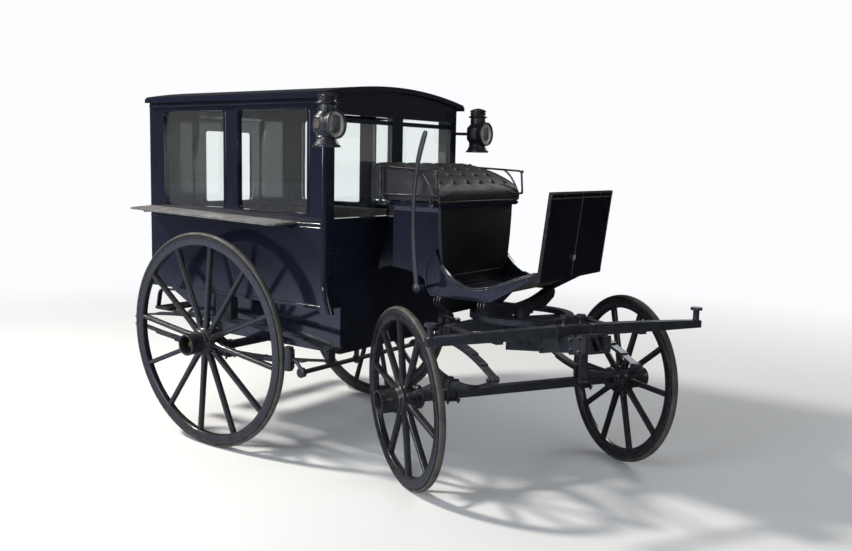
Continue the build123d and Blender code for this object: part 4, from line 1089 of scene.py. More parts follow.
# %% Bars along a path
def swept(shape, path, radius, sides=10, flat=1.0):
    """A round or flattened bar along a path of points, with its ends closed."""
    stations = []
    for index, point in enumerate(path):
        ahead = path[min(index + 1, len(path) - 1)] - path[max(index - 1, 0)]
        turn = ahead.to_track_quat("Z", "X").to_matrix().to_4x4()
        size = Matrix.Diagonal((radius, radius * flat, 1, 1))
        stations.append(Matrix.Translation(point) @ turn @ size)
    return rings(shape, stations, sides)


def rounded_path(corners, radius, steps=6):
    """The corners of a path rounded off, as points for a sweep."""
    path = [corners[0]]
    for before, corner, after in zip(corners, corners[1:], corners[2:]):
        into, out = (before - corner), (after - corner)
        cut = min(radius, into.length * 0.48, out.length * 0.48)
        first, last = corner + into.normalized() * cut, corner + out.normalized() * cut
        for step in range(steps + 1):
            share = step / steps
            path.append(first.lerp(corner, share).lerp(corner.lerp(last, share), share))
    path.append(corners[-1])
    return path


print("sweep helpers ready")

# %% Welts and button heads
welt_x = 388
welt_side = (
    # back of the king pin, height, from the foot of the front roll over the top to the back
    (266, 1432), (264, 1466), (292, 1507), (350, 1540), (430, 1573), (520, 1599), (620, 1617),
    (672, 1615), (694, 1590), (696, 1436),
)
shape = bmesh.new()
for hand in (-1, 1):
    path = rounded_path([on_coach(hand * welt_x, y, z) for y, z in welt_side], 0.03)
    swept(shape, path, 0.0045)
foot_welt = [on_coach(x, 268 + x**2 / 60000, 1430) for x in range(-welt_x, welt_x + 1, 97)]
swept(shape, foot_welt, 0.005)
piece("cushion_piping", shape, [worn_leather], "coach_body", sharp=1.2)
shape = bmesh.new()
surface = bpy.data.objects["driver_seat_cushion"]
for spot in buttons:
    place, normal = surface.ray_cast(Vector((*spot, 1.8)), Vector((0, 0, -1)))[1:3]
    turn = normal.to_track_quat("Z", "Y").to_matrix().to_4x4()
    flat = Matrix.Translation(place + normal * 0.0008) @ turn @ Matrix.Diagonal((1, 1, 0.35, 1))
    bmesh.ops.create_uvsphere(shape, u_segments=16, v_segments=10, radius=0.0045, matrix=flat)
made = piece("cushion_buttons", shape, [worn_leather], "coach_body", sharp=1.2)
print("button heads' faces", len(made.data.polygons))

# %% [markdown]
# ## Seat irons
# The rails at the seat's ends are bent from round bar. Each has a frame with rounded corners, a
# curved inner strap, a turned baluster at the back with a knob on it, and bolted foot plates. Curve
# objects with a bevel would give the bars alone. Swept in a bmesh, they share one mesh with the
# spun baluster and the bolts.

# %% Bolt heads and nuts
def dome(shape, place, outward, radius, flat=0.6, material=0):
    """A rivet or bolt head that stands on a surface."""
    old = set(shape.faces)
    turn = Vector(outward).to_track_quat("Z", "Y").to_matrix().to_4x4()
    spot = Matrix.Translation(place) @ turn @ Matrix.Diagonal((1, 1, flat, 1))
    bmesh.ops.create_uvsphere(shape, u_segments=12, v_segments=8, radius=radius, matrix=spot)
    new_faces(shape, old, material)


def nut(shape, place, outward, across, thick):
    """A six-sided nut with the end of its bolt."""
    turn = Vector(outward).to_track_quat("X", "Z").to_matrix().to_4x4()
    spot = Matrix.Translation(place) @ turn
    hexagon = ((0, 0), (0, across / 2), (thick * 0.85, across / 2), (thick, across * 0.42), (thick, 0))
    bolt_end = (
        (thick, 0), (thick, across * 0.24), (thick * 1.45, across * 0.24), (thick * 1.6, across * 0.16),
        (thick * 1.6, 0),
    )
    lathe(shape, hexagon, 6, close=False, place=spot)
    lathe(shape, bolt_end, 12, close=False, place=spot)


print("bolt helpers ready")

# %% Seat rails
rail_x, rail_post_back = 418, 617
rail_frame = ((617, 1604), (268, 1588), (258, 1462), (617, 1462))
rail_strap = ((380, 1591), (352, 1572), (328, 1545), (308, 1512), (292, 1480), (285, 1464))
baluster = (
    (1.418, 0.0), (1.418, 0.012), (1.424, 0.013), (1.432, 0.0075), (1.450, 0.0065), (1.458, 0.0085),
    (1.466, 0.0085), (1.474, 0.0062), (1.520, 0.0078), (1.545, 0.0082), (1.572, 0.0062),
    (1.590, 0.0060), (1.598, 0.0090), (1.608, 0.0090), (1.614, 0.0060), (1.616, 0.0085),
    (1.621, 0.0080), (1.622, 0.0),
)
for name, hand in both_sides:
    shape = bmesh.new()
    corners = [on_coach(hand * rail_x, y, z) for y, z in rail_frame]
    swept(shape, rounded_path(corners, 0.018), 0.0058)
    bend = rounded_path([on_coach(hand * rail_x, y, z) for y, z in rail_strap], 0.02)
    swept(shape, bend, 0.0058, flat=0.75)
    swept(shape, [on_coach(hand * rail_x, 300, z) for z in (1414, 1436, 1462)], 0.0065)
    post = Matrix.Translation(on_coach(hand * rail_x, rail_post_back, 0)) @ upright
    lathe(shape, baluster, 20, close=False, place=post)
    for y in (300, 597):
        block(shape, on_coach(hand * 398, y, 1412), (0.044, 0.036, 0.012), 0.003)
        dome(shape, on_coach(hand * 392, y, 1418), (0, 0, 1), 0.006)
    for height, rise in ((1585, 0.4), (1466, -0.3)):
        dome(shape, on_coach(hand * rail_x, 262, height), (0, -1, rise), 0.0085, 1.0)
    brace = ((416, 556, 1418), (418, 590, 1436), (418, 612, 1462))
    swept(shape, [on_coach(hand * x, y, z) for x, y, z in brace], 0.0055)
    made = piece("seat_rail_" + name, shape, [polished_iron], "coach_body", sharp=0.7)
    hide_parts("seat_rails")
    print("seat rail", name, "faces", len(made.data.polygons))

# %% [markdown]
# ## Brake lever
# The lever is one forging: a swelled grip, a flat bar that thins as it falls in a long double curve,
# and an eye that turns on a bright pivot beside the footboard. A plain sweep keeps one section all
# along. Here each ring of the row has its own width and thickness, so the swell of the grip shows.

# %% Lever
along_x = Vector((1, 0, 0))
lever_x, pivot_back, pivot_height = -450, 350, 1000
lever_line = (
    # back of the king pin, height, half width, half thickness
    (313, 1781, 0.0090, 0.0060), (317, 1768, 0.0135, 0.0068), (327, 1740, 0.0148, 0.0070),
    (342, 1690, 0.0145, 0.0070), (355, 1640, 0.0135, 0.0070), (362, 1600, 0.0118, 0.0068),
    (368, 1560, 0.0110, 0.0065), (375, 1500, 0.0108, 0.0062), (379, 1440, 0.0110, 0.0060),
    (380, 1370, 0.0112, 0.0060), (378, 1290, 0.0118, 0.0060), (372, 1200, 0.0124, 0.0060),
    (363, 1110, 0.0130, 0.0060), (355, 1050, 0.0136, 0.0062), (352, 1012, 0.0140, 0.0064),
)
eye = (
    (-0.0076, 0.0), (-0.0076, 0.012), (-0.0062, 0.0200), (-0.0030, 0.0230), (0.0030, 0.0230),
    (0.0062, 0.0200), (0.0076, 0.012), (0.0076, 0.0),
)
bolt = (
    (-0.0070, 0.0), (-0.0070, 0.0135), (-0.0066, 0.0145), (-0.0060, 0.0138), (0.0070, 0.0090),
    (0.096, 0.0090), (0.1158, 0.0090), (0.1158, 0.0),
)
collar = (
    (0.018, 0.0085), (0.018, 0.0125), (0.022, 0.0165), (0.028, 0.0175), (0.034, 0.0165),
    (0.038, 0.0125), (0.038, 0.0085),
)
shape = bmesh.new()
stations = []
for index, (back, height, wide, thick) in enumerate(lever_line):
    before, after = lever_line[max(index - 1, 0)], lever_line[min(index + 1, len(lever_line) - 1)]
    fall = Vector((0, after[0] - before[0], after[1] - before[1])).normalized()
    axes = Matrix((along_x, fall.cross(along_x), fall)).transposed().to_4x4()
    spot = Matrix.Translation(on_coach(lever_x, back, height)) @ axes
    stations.append(spot @ Matrix.Diagonal((thick, wide, 1, 1)))
rings(shape, stations, 16, square=0.8)
pivot = Matrix.Translation(on_coach(lever_x, pivot_back, pivot_height))
lathe(shape, eye, 40, 0, close=False, place=pivot)
lathe(shape, bolt, 28, 1, close=False, place=pivot)
lathe(shape, collar, 28, 1, place=pivot)
dome(shape, on_coach(lever_x - 7.4, pivot_back, pivot_height), (-1, 0, 0), 0.0125, 0.45, 1)
metals = [lever_iron, polished_iron]
piece("hand_brake_lever", shape, metals, "coach_body", sharp=0.8, replaced=["brake_lever"])
print("lever stations", len(stations))

# %% [markdown]
# ## Benches
# Two benches run along the cabin. Each has a panelled wooden front, a padded seat with sewn channels
# and a padded back, all dark, because only the light of the windows reaches them. The pads are
# filled as the cushion was, from plain blocks, and the channels are pressed in afterwards by how far
# a point lies from the nearest seam.

# %% Bench boxes
bench_wood = finish(
    "bench_wood", (0.030, 0.018, 0.012), 0.32, coat=0.5, wear=0.3, worn=(0.12, 0.07, 0.04), bump=0.1,
    Scale=12.0, Fine=220.0,
)
bench_middle, bench_long, pad_long = 1542, 1.324, 1.304
for name, hand in both_sides:
    shape = bmesh.new()
    block(shape, on_coach(hand * 424, bench_middle, 983), (0.286, bench_long, 0.220), 0.004)
    block(shape, on_coach(hand * 404, bench_middle, 1099), (0.326, bench_long, 0.014), 0.004)
    for back in (bench_middle - 432, bench_middle, bench_middle + 432):
        block(shape, on_coach(hand * 281.5, back, 983), (0.006, 0.390, 0.170), 0.002)
        block(shape, on_coach(hand * 279.5, back, 983), (0.006, 0.340, 0.120), 0.0025)
    box = piece("bench_box_" + name, shape, [bench_wood], "coach_body", sharp=0.7)
    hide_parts("bench_" + name)
    print("bench box", name, "faces", len(box.data.polygons))

# %% Bench pads
def pad_block(name, centre, size):
    """A plain block to fill with air."""
    shape = bmesh.new()
    block(shape, centre, size, 0.012)
    mesh = bpy.data.meshes.new(name)
    shape.to_mesh(mesh)
    shape.free()
    return mesh


channel_gap, channel_width = 165, 0.007
channel_places = [
    (bench_middle + (count - 3.5) * channel_gap) / 1000 + king_pin_y for count in range(8)
]


def sew_channels(shape, depth, facing):
    """Presses sewn channels into the faces that look along facing."""
    shape.normal_update()
    for point in shape.verts:
        show = max(0.0, point.normal.dot(facing))
        nearest = min(abs(point.co.y - place) for place in channel_places)
        point.co -= point.normal * (depth * show * bell(nearest, channel_width))


for name, hand in both_sides:
    size = (0.300, pad_long, 0.070)
    source = pad_block("bench_start", on_coach(hand * 398, bench_middle, 1146), size)
    pad, shape = filled("bench_seat_" + name, source, 0.011, 0.006, lambda point: point.z < 1.118, 5.0)
    sew_channels(shape, 0.006, Vector((0, 0, 1)))
    settle(pad, shape, bench_leather, "coach_body")
    size = (0.052, pad_long, 0.122)
    source = pad_block("bench_back_start", on_coach(hand * 536, bench_middle, 1261), size)
    pad, shape = filled(
        "bench_back_" + name, source, 0.011, 0.004,
        lambda point, hand=hand: hand * point.x > 0.556 or point.z < 1.206, 5.0,
    )
    sew_channels(shape, 0.005, Vector((-hand, 0, 0)))
    settle(pad, shape, bench_leather, "coach_body")

# %% [markdown]
# ## Edges of the footboard and the dash
# The brackets of the footboard have two bright beads along their upper edge, rubbed by boots. The
# dash is leather on an iron frame: a rolled top rail and side posts worn brown, a middle strut in a
# small bright clip, small bolts along the edges, and a line of stitches on the back. Bump would show
# these from the front only. As swept bars and domes they also catch the light along an edge.

# %% Footboard beads
bracket_line = (
    # back of the king pin, height
    (-256, 1124), (-160, 1088), (-70, 1054), (-10, 1030), (60, 1017), (110, 1015), (170, 1026),
    (230, 1060), (280, 1114),
)
shape = bmesh.new()
for hand in (-1, 1):
    for out, drop in ((336.2, 3.4), (337.0, 14.5)):
        line = [on_coach(hand * out, y + drop * 0.35, z - drop) for y, z in bracket_line]
        swept(shape, rounded_path(line, 0.06, 4), 0.0030, sides=8)
    for y, z in ((-215, 1082), (-90, 1035), (300, 980), (330, 1060)):
        dome(shape, on_coach(hand * 334, y, z), (hand, 0, 0), 0.007)
made = piece("footboard_beads", shape, [polished_iron], "coach_body", sharp=1.0)
print("bead faces", len(made.data.polygons))

# %% Dash irons
bright_clip = finish(
    "bright_clip", (0.62, 0.60, 0.56), 0.34, metal=0.6, wear=0.4, wear_width=0.002,
    worn=(0.85, 0.83, 0.8), bump=0.1, rough_spread=0.2,
)
dash_rise, dash_lean = 432, 52
dash_place = Matrix.Translation(on_coach(0, -270, 1070))
dash_place = dash_place @ Matrix.Rotation(math.atan2(dash_lean, dash_rise), 4, "X")
dash_out = (0, -1, -0.1)


def on_dash(x, off, high):
    """A point of the dash: across, behind its leather's front, and up its slope, in millimetres."""
    return dash_place @ (Vector((x, off, high)) / 1000)


shape = bmesh.new()
swept(shape, [on_dash(x, -3.2, 429.5) for x in (-334, -200, 0, 200, 334)], 0.0052, sides=12)
swept(shape, [on_dash(x, -6.0, 405) for x in (-333, -200, 0, 200, 333)], 0.0030, sides=8)
for hand in (-1, 1):
    swept(shape, [on_dash(hand * 331.5, -3.4, z) for z in (4, 150, 300, 428)], 0.0056, sides=12)
    for high in (14, 120, 230, 330, 420):
        dome(shape, on_dash(hand * 331, -8.0, high), dash_out, 0.0045)
    for x, high in ((327, 270), (186, 424)):
        dome(shape, on_dash(hand * x, -7.0, high), dash_out, 0.0050)
swept(shape, [on_dash(0, -6.4, z) for z in (10, 150, 300, 420)], 0.0034, sides=10)
piece("dash_irons", shape, [dash_iron], "coach_body", sharp=0.9)
print("dash is", round(math.hypot(dash_rise, dash_lean)), "mm tall on its slope")

# %% Dash clip and stitches
clip_height = 104
shape = bmesh.new()
clip_place = dash_place @ Matrix.Translation((0, -0.0060, clip_height / 1000))
block(shape, (0, 0, 0), (0.019, 0.011, 0.028), 0.0035, turn=clip_place)
dome(shape, on_dash(0, -11.5, clip_height), dash_out, 0.0055)
piece("dash_clip", shape, [bright_clip], "coach_body", sharp=0.8)
seam_half, seam_foot, seam_top = 310, 18, 400
shape = bmesh.new()
for x in (-seam_half, -24, 24, seam_half):
    line = [on_dash(x, 6.2, high) for high in (seam_foot, 210, seam_top)]
    swept(shape, line, 0.0016, sides=6)
for high in (seam_foot, seam_top):
    swept(shape, [on_dash(x, 6.2, high) for x in (-seam_half, 0, seam_half)], 0.0016, sides=6)
made = piece("dash_stitching", shape, [worn_leather], "coach_body", sharp=1.0)
print("seam faces", len(made.data.polygons))

# %% [markdown]
# ## Brake gear
# A shaft turns in two hangers under the footwell. A forged arm at each of its ends carries a wooden
# shoe, bent to the tyre's curve, on an iron back plate. A box bent by a modifier would only come
# near that curve. Here each ring of the shoe is set at its own distance, worked out from the wheel's
# radius, so the gap to the tyre is the same all the way.

# %% Shaft and hangers
shaft_back, shaft_height, hanger_x, shoe_x = 865, 538, 300, 735


def eye_profile(half, radius):
    """A round eye or boss about the shaft, with eased edges."""
    ease, end_radius = 0.003, 0.022
    return (
        (-half, 0.0), (-half, end_radius), (ease - half, radius), (half - ease, radius),
        (half, end_radius), (half, 0.0),
    )


shape = bmesh.new()
shaft = [on_coach(x, shaft_back, shaft_height) for x in (-722, -hanger_x, hanger_x, 722)]
swept(shape, shaft, 0.0125, sides=20)
for x in (-hanger_x, hanger_x):
    block(shape, on_coach(x, shaft_back, 566), (0.010, 0.032, 0.056), 0.002)
    spot = Matrix.Translation(on_coach(x, shaft_back, shaft_height))
    lathe(shape, eye_profile(0.009, 0.025), 32, close=False, place=spot)
print("shaft is", round((shaft[-1] - shaft[0]).length, 3), "m long")

# %% Arms and shoes
shoe_middle, rear_radius = 598, 610
arm_line = ((shaft_back, shaft_height), (878, 566), (906, 590), (931, shoe_middle))


def shoe_station(height, stand_off, deep, wide, hand):
    """A ring of the shoe at a height: it keeps its distance from the tyre's round."""
    reach = math.sqrt((rear_radius / 1000 + stand_off) ** 2 - ((height - rear_radius) / 1000) ** 2)
    centre = on_coach(hand * shoe_x, rear_axle, height) - Vector((0, reach, 0))
    return Matrix.Translation(centre) @ Matrix.Diagonal((wide, deep, 1, 1))


for hand in (-1, 1):
    heights = [shoe_middle + step * 10.5 for step in range(-6, 7)]
    rings(shape, [shoe_station(z, 0.0262, 0.020, 0.019, hand) for z in heights], 20, 1, square=0.35)
    heights = [shoe_middle + step * 8.5 for step in range(-6, 7)]
    rings(shape, [shoe_station(z, 0.0495, 0.0036, 0.0165, hand) for z in heights], 16, 0, square=0.4)
    arm = rounded_path([on_coach(hand * shoe_x, y, z) for y, z in arm_line], 0.02)
    swept(shape, arm, 0.0110, sides=14, flat=0.75)
    spot = Matrix.Translation(on_coach(hand * shoe_x, shaft_back, shaft_height))
    lathe(shape, eye_profile(0.014, 0.026), 36, close=False, place=spot)
    for lift in (-36, 36):
        nut(shape, on_coach(hand * shoe_x, 928, shoe_middle + lift), (0, -1, 0), 0.014, 0.007)
finishes = [gear_iron, gear_paint]
made = piece("brake_linkage", shape, finishes, "coach_body", sharp=0.7, replaced=["brake_gear"])
print("brake faces", len(made.data.polygons))

# %% [markdown]
# ## Before the box and at the back
# A flat leather hangs down the front of the box, a little proud of its sides, with a welt sewn round
# its edge, and a board closes the foot of the box behind it. At the back, stops run round the doorway
# inside, so no light passes the door's edge, and the door has ball-tipped hinges and a turned rose
# under its handle. The stops stay on the body, and the handle and the tips swing with the door.

# %% Box leather
leather_half = (
    # height, half width, of the leather's right half from the top down
    (1402, 354), (1320, 350), (1220, 340), (1150, 330), (1105, 319), (1078, 304), (1058, 282), (1046, 256),
)
leather_front, leather_thick = 284.5, 0.013
right_edge = [(-half, height) for height, half in leather_half]
left_edge = [(half, height) for height, half in reversed(leather_half)]
outline = right_edge + left_edge
shape = bmesh.new()
front_face = shape.faces.new([shape.verts.new(on_coach(x, leather_front, z)) for x, z in outline])
pushed = bmesh.ops.extrude_face_region(shape, geom=[front_face])["geom"]
behind = [part for part in pushed if isinstance(part, bmesh.types.BMVert)]
bmesh.ops.translate(shape, vec=(0, leather_thick, 0), verts=behind)
rim = [edge for edge in shape.edges if abs(edge.verts[0].co.y - edge.verts[1].co.y) < 1e-6]
bmesh.ops.bevel(shape, geom=rim, offset=0.003, segments=2, profile=0.5, affect="EDGES", material=-1)
piece("box_leather", shape, [black_leather], "coach_body", sharp=0.5, replaced=["seat_front_panel"])
shape = bmesh.new()
welt = rounded_path([on_coach(x * 0.987, leather_front + 0.1, z + 4) for x, z in outline], 0.02, 3)
swept(shape, welt, 0.0022, sides=8)
piece("box_leather_welt", shape, [worn_leather], "coach_body", sharp=1.0)
print("box leather has", len(outline), "corners")

# %% Kick board and door stops
shape = bmesh.new()
block(shape, on_coach(0, 303, 1030), (0.640, 0.008, 0.030), 0.0015)
piece("kick_board", shape, [gear_paint], "coach_body", sharp=0.7)
shape = bmesh.new()
stop_back, stop_thick = 2210.3, 0.0066
for hand in (-1, 1):
    block(shape, on_coach(hand * 284, stop_back, 1382), (0.044, stop_thick, 1.020), 0.002)
block(shape, on_coach(0, stop_back, 1893), (0.612, stop_thick, 0.044), 0.002)
piece("door_stops", shape, [coach_paint], "coach_body", sharp=0.7)
print("stops stand", stop_back, "mm behind the king pin")

# %% Door handle and hinges
to_back = Matrix.Rotation(math.pi / 2, 4, "Z")
rose = (
    (0.0, 0.0), (0.0, 0.025), (0.0025, 0.026), (0.0045, 0.0235), (0.006, 0.015), (0.009, 0.0125),
    (0.013, 0.0100), (0.026, 0.0095), (0.030, 0.0115), (0.034, 0.0115), (0.036, 0.0095), (0.036, 0.0),
)
grip = ((-262, 1225), (-252, 1225), (-225, 1224), (-190, 1223), (-160, 1224), (-140, 1228))
door_back, grip_back = 2248, 2284
shape = bmesh.new()
lathe(shape, rose, 40, close=False, place=Matrix.Translation(on_coach(-242, door_back, 1225)) @ to_back)
swept(shape, [on_coach(x, grip_back, z) for x, z in grip], 0.0098, sides=18, flat=0.75)
for x, z in (grip[0], grip[-1]):
    dome(shape, on_coach(x, grip_back, z), (0, 1, 0), 0.0105, 0.8)
for low in (930, 1300, 1790):
    for z in (low - 2, low + 72):
        dome(shape, on_coach(294, 2260, z), (0, 0, 1), 0.0088, 1.0)
    for z in (low + 12, low + 58):
        dome(shape, on_coach(262, 2256.5, z), (0, 1, 0), 0.0045)
made = piece("door_furniture", shape, [nickel], "rear_door", sharp=0.7)
print("door furniture faces", len(made.data.polygons))

# %% [markdown]
# ## Running gear
# Springs are held to their axles by U-bolts, and the long rear leaves by clips. The bolsters end in
# fluted irons, the splinter bar carries turned posts and two iron bands, and the futchells are
# bolted through. These are small parts, so each kind is one short function that is called wherever
# the coach has it.

# %% U-bolts, clips and eye bolts
def u_bolt(shape, at, near, far, low, high):
    """A rod bent over at height high, with its legs at the places near and far and nuts at their feet."""
    corners = [at(*near, low), at(*near, high), at(*far, high), at(*far, low)]
    swept(shape, rounded_path(corners, 0.012), 0.0046)
    for place in (near, far):
        nut(shape, at(*place, low + 12), (0, 0, -1), 0.015, 0.008)


def leaf_clip(shape, x, middle_z, rise, offset):
    """A band round one half of a rear spring's leaves, square to their curve, with a rivet at each side."""
    radius = (rear_spring_reach**2 + rear_spring_sag**2) / (2 * rear_spring_sag)
    middle_leaf = radius + 12
    turn = math.asin(offset / middle_leaf)
    height = middle_z - rise * radius + rise * math.cos(turn) * middle_leaf
    tilt = Matrix.Rotation(-rise * turn, 4, "X")
    centre = on_coach(x, rear_axle + offset, height)
    block(shape, centre, (2 * clip_half, 0.020, 0.029), 0.003, turn=tilt)
    for side in (-along_x, along_x):
        dome(shape, centre + side * clip_half, side, 0.0055)


def eye_bolt(shape, centre, axis, half_wide, size):
    """A bolt across a spring's eye: a domed head inside, a nut outside."""
    dome(shape, centre - axis * half_wide, -axis, size * 0.62)
    nut(shape, centre + axis * half_wide, axis, size, size * 0.5)


print("three kinds of spring irons")

# %% Spring irons
rear_spring_x, rear_spring_reach, rear_spring_sag, clip_half = 590, 790, 56, 0.0255
front_spring_x, front_spring_reach = 400, 450
gear_x = gear_turn @ along_x
for name, hand in both_sides:
    shape = bmesh.new()
    x = hand * rear_spring_x
    for leg_x in (x - 31, x + 31):
        u_bolt(shape, on_coach, (leg_x, rear_axle - 26), (leg_x, rear_axle + 26), 486, 585)
    for rise, middle_z in ((1, 698), (-1, 534)):
        for offset in (-300, 300):
            leaf_clip(shape, x, middle_z, rise, offset)
    for y in (rear_axle - rear_spring_reach, rear_axle + rear_spring_reach):
        for z in (592, 640):
            eye_bolt(shape, on_coach(x, y, z), along_x * hand, 0.026, 0.020)
    piece("rear_spring_irons_" + name, shape, [gear_iron], "coach_body", sharp=0.7)
    shape = bmesh.new()
    x = hand * front_spring_x
    for y in (-31, 31):
        u_bolt(shape, on_gear, (x - 29, y), (x + 29, y), 419, 542)
    plate = Matrix.Translation(on_gear(x, 0, 436.6)) @ gear_turn.to_4x4()
    block(shape, (0, 0, 0), (0.078, 0.082, 0.008), 0.002, turn=plate)
    for y in (-front_spring_reach, front_spring_reach):
        eye_bolt(shape, on_gear(x, y, 640.8), gear_x * hand, 0.021, 0.024)
    piece("front_spring_irons_" + name, shape, [gear_iron], "fore_carriage", sharp=0.7)
print("eyes are", 2 * rear_spring_reach, "mm apart behind,", 2 * front_spring_reach, "mm in front")

# %% Bolster ends and bolts
flute_line = ((330, 948), (346, 951), (356, 948), (363, 938), (364, 926), (358, 913), (346, 903))
shape = bmesh.new()
for hand in (-1, 1):
    for y in (22, 285):
        for offset in (-17, 0, 17):
            line = [on_coach(hand * x, y + offset, z) for x, z in flute_line]
            swept(shape, line, 0.0056)
        for x in (160, 270):
            dome(shape, on_coach(hand * x, y - 25, 925), (0, -1, 0), 0.0085)
made = piece("bolster_irons", shape, [polished_iron], "coach_body", sharp=1.0)
print("bolster irons' faces", len(made.data.polygons))

# %% Splinter bar posts and bands
bar_back, bar_foot, bar_half, band_wide = -478, 826, 760, 0.030
shape = bmesh.new()
for x, stem, head, top in ((-738, 15, 29, 862), (-46, 12, 22, 880), (46, 12, 22, 880), (738, 15, 29, 862)):
    spool = (
        # height, radius, from the foot plate on the bar up to the head
        (top - 4, 0), (top - 4, stem + 5), (top + 1, stem + 5), (top + 3, stem + 2),
        (top + 7, stem + 0.4), (910, stem + 0.4), (914.5, stem + 3), (915.8, head - 4),
        (917.5, head - 0.1), (924, head - 0.1), (927.8, head - 5), (927.8, 0),
    )
    stand = Matrix.Translation(on_gear(x, bar_back, 0)) @ upright
    lathe(shape, [(z / 1000, r / 1000) for z, r in spool], 36, close=False, place=stand)
for x in (-95, 95):
    fuller = 1 - (x / bar_half) ** 2
    sweep, height = 36 + fuller * 16, 36 + fuller * 18
    middle = bar_foot + height / 2
    size = (band_wide, (sweep + 5) / 1000, (height + 5) / 1000)
    block(shape, on_gear(x, bar_back, middle), size, 0.0022, turn=gear_turn.to_4x4())
    dome(shape, on_gear(x, bar_back, bar_foot + height + 2.5), (0, 0, 1), 0.0065)
    before = on_gear(x, bar_back - sweep / 2 - 2.5, middle)
    dome(shape, before, gear_turn @ Vector((0, -1, 0)), 0.0065)
made = piece("splinter_bar_irons", shape, [gear_iron], "fore_carriage", sharp=0.7)
print("splinter bar irons' faces", len(made.data.polygons))

# %% Futchell bolts and stays
pole_slope = math.tan(math.radians(10))
stay_line = ((-470, 822), (-300, 813), (-120, 802), (-60, 797))
shape = bmesh.new()
for y, lifts in ((-110, (0,)), (-200, (0,)), (-315, (-24, 24)), (-575, (-24, 24)), (-644, (-31.2, 31.2))):
    pole_height = 779 + (-420 - y) * pole_slope
    for hand in (-1, 1):
        for lift in lifts:
            nut(shape, on_gear(hand * 70, y, pole_height + lift), gear_x * hand, 0.020, 0.009)
for hand in (-1, 1):
    stay = [on_gear(hand * front_spring_x, y, z) for y, z in stay_line]
    swept(shape, stay, 0.0105, flat=0.6)
    dome(shape, on_gear(hand * front_spring_x, -440, 812), (0, 0, -1), 0.009)
made = piece("futchell_bolts", shape, [gear_iron], "fore_carriage", sharp=0.7)
print("futchell bolts' faces", len(made.data.polygons))

# %% Ring bolts
ring_bolts, ring_radius, ring_foot = 12, 248, 836
shape = bmesh.new()
for count in range(ring_bolts):
    angle = 2 * math.pi * (count + 0.5) / ring_bolts
    spot = on_gear(ring_radius * math.cos(angle), ring_radius * math.sin(angle), ring_foot)
    dome(shape, spot, (0, 0, -1), 0.008)
piece("ring_bolts", shape, [gear_iron], "fore_carriage", sharp=0.7)

# %% [markdown]
# ## Boards and stays
# Under the rising toe board the paint has gone and four worn planks show. Short stays hold the
# mudguard boards from below, and small bolts go through them. Joints drawn by a texture would have no
# depth, so each plank is a block of its own with a gap to the next.

# %% Toe board
toe_front, toe_back = (-262, 1099), (20, 975)
rise, run = toe_front[1] - toe_back[1], toe_back[0] - toe_front[0]
long = math.hypot(rise, run) / 1000
turn = Matrix.Rotation(-math.atan2(rise, run), 4, "X")
middle = on_coach(0, (toe_front[0] + toe_back[0]) / 2, (toe_front[1] + toe_back[1]) / 2)
below = turn.to_3x3() @ Vector((0, 0, -0.0024))
shape = bmesh.new()
for count in range(4):
    across = Vector(((count - 1.5) * 0.1530, 0, 0))
    block(shape, middle + across + below, (0.1500, long - 0.022, 0.005), 0.0012, turn=turn)
piece("toe_planks", shape, [worn_board], "coach_body", sharp=0.7)
print("toe board is", round(long, 3), "m long on its slope")

# %% Mudguard stays
stay_line = ((610, -30), (628, -22), (660, -11), (720, -7), (796, -6))
for name, hand in both_sides:
    shape = bmesh.new()
    for y in (1080, rear_axle, 2060):
        under = 1292 + (y - 995) / 1265 * 34
        line = [on_coach(hand * x, y, under + drop) for x, drop in stay_line]
        swept(shape, rounded_path(line, 0.02), 0.0056)
        dome(shape, on_coach(hand * 610, y, under - 30), (hand, 0, 0), 0.008)
        for x in (660, 780):
            dome(shape, on_coach(hand * x, y, under + 10.3), (0, 0, 1), 0.006, 0.35)
    made = piece("mudguard_stays_" + name, shape, [gear_iron], "coach_body", sharp=0.8)
    print("mudguard stays", name, "faces", len(made.data.polygons))

# %% [markdown]
# ## Studio
# A pale floor that fades into a pale world, a large soft key from the left and behind, where the
# daylight came from, and a broad fill in front. The world is white to the camera and through glass,
# and dim to gloss, so the ground stays white and the paint stays black. The floor shows in gloss on
# the coach's right side only, tinted like the sky.

# %% Floor
black, floor_grey = (0, 0, 0, 1), (0.78, 0.78, 0.77, 1)
daylight, sky = (0.97, 0.98, 1.0, 1), (0.66, 0.74, 1.0, 1)
floor_half = 40
floor_mesh = bpy.data.meshes.new("floor")
shape = bmesh.new()
bmesh.ops.create_grid(shape, x_segments=1, y_segments=1, size=floor_half)
shape.to_mesh(floor_mesh)
shape.free()
floor = bpy.data.objects.new("floor", floor_mesh)
bpy.context.scene.collection.objects.link(floor)


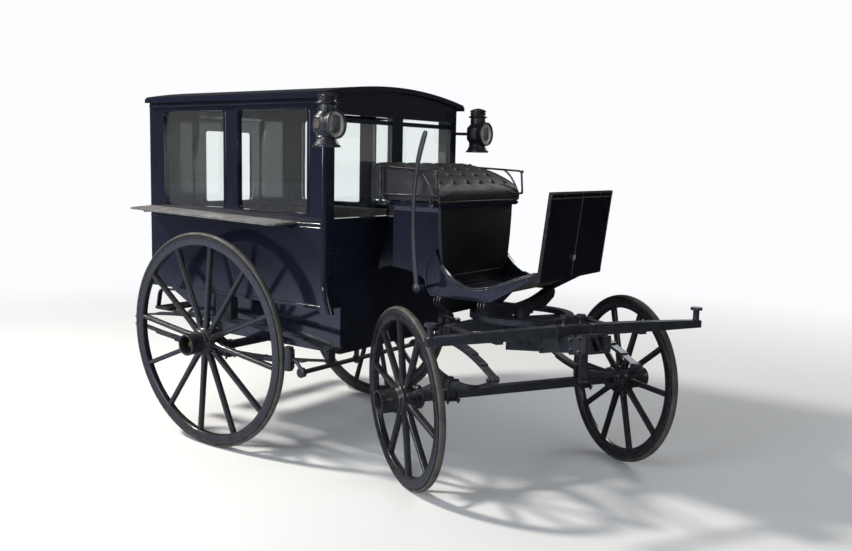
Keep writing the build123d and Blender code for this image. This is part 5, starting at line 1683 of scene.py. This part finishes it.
def pale(name, near, far):
    """Pale near the coach and white far off, to the camera and through glass only."""
    material = bpy.data.materials.new(name)
    material.use_nodes = True
    tree = material.node_tree
    shader = tree.nodes["Principled BSDF"]
    shader.inputs["Roughness"].default_value = 0.9
    shader.inputs["Specular IOR Level"].default_value = 0.05
    place = add_node(tree, "ShaderNodeTexCoord").outputs["Object"]
    away = add_node(tree, "ShaderNodeVectorMath", {0: place}, operation="LENGTH").outputs["Value"]
    reach = {"Value": away, "From Min": near, "From Max": far}
    fade = add_node(tree, "ShaderNodeMapRange", reach, interpolation_type="SMOOTHSTEP").outputs["Result"]
    rays = add_node(tree, "ShaderNodeLightPath").outputs
    seen = maths(tree, "MAXIMUM", rays["Is Camera Ray"], rays["Is Transmission Ray"])
    glow = maths(tree, "MULTIPLY", fade, seen)
    tree.links.new(mixed(tree, glow, black, daylight), shader.inputs["Emission Color"])
    shader.inputs["Emission Strength"].default_value = 1.0
    across = add_node(tree, "ShaderNodeSeparateXYZ", {0: place}).outputs["X"]
    in_gloss = mixed(tree, remap(tree, across, 1.0, -2.5, 0.02, 0.46), black, sky)
    lit = mixed(tree, glow, floor_grey, black)
    tree.links.new(mixed(tree, rays["Is Glossy Ray"], lit, in_gloss), shader.inputs["Base Color"])
    return material


floor_mesh.materials.append(pale("floor_pale", 2.6, 7.5))
print("floor is", 2 * floor_half, "m wide")

# %% World
world = bpy.data.worlds.new("studio")
world.use_nodes = True
bpy.context.scene.world = world
tree = world.node_tree
rays = add_node(tree, "ShaderNodeLightPath").outputs
direct = maths(tree, "MAXIMUM", rays["Is Camera Ray"], rays["Is Transmission Ray"])
fill, gloss = 0.30, 0.05
strength = maths(tree, "MAXIMUM", direct, remap(tree, rays["Is Glossy Ray"], 0.0, 1.0, fill, gloss))
tree.nodes["Background"].inputs["Color"].default_value = daylight
tree.links.new(strength, tree.nodes["Background"].inputs["Strength"])
print("world fills with", fill, "and shows in gloss with", gloss)

# %% Lamps of the studio
def soft_light(name, place, target, size, power, colour):
    """A round area light that looks at its target."""
    data = bpy.data.lights.new(name, "AREA")
    data.shape = "DISK"
    data.size = size
    data.energy = power
    data.color = colour
    lamp = bpy.data.objects.new(name, data)
    bpy.context.scene.collection.objects.link(lamp)
    lamp.location = place
    lamp.rotation_euler = (Vector(target) - Vector(place)).to_track_quat("-Z", "Y").to_euler()


soft_light("key", (-3.2, 4.6, 6.0), (0, 0, 1), 0.9, 640, (1.0, 0.96, 0.90))
soft_light("sky_side", (-7.0, 0.5, 3.2), (0, 0, 1), 3.5, 260, (0.80, 0.88, 1.0))
soft_light("sky_front", (-1.5, -7.5, 4.5), (0, -0.3, 1), 4.0, 60, (0.90, 0.94, 1.0))
soft_light("open_side", (6.0, -0.5, 4.0), (0, 0, 1), 3.0, 90, (0.92, 0.96, 1.0))
print("lights", len(bpy.data.lights))
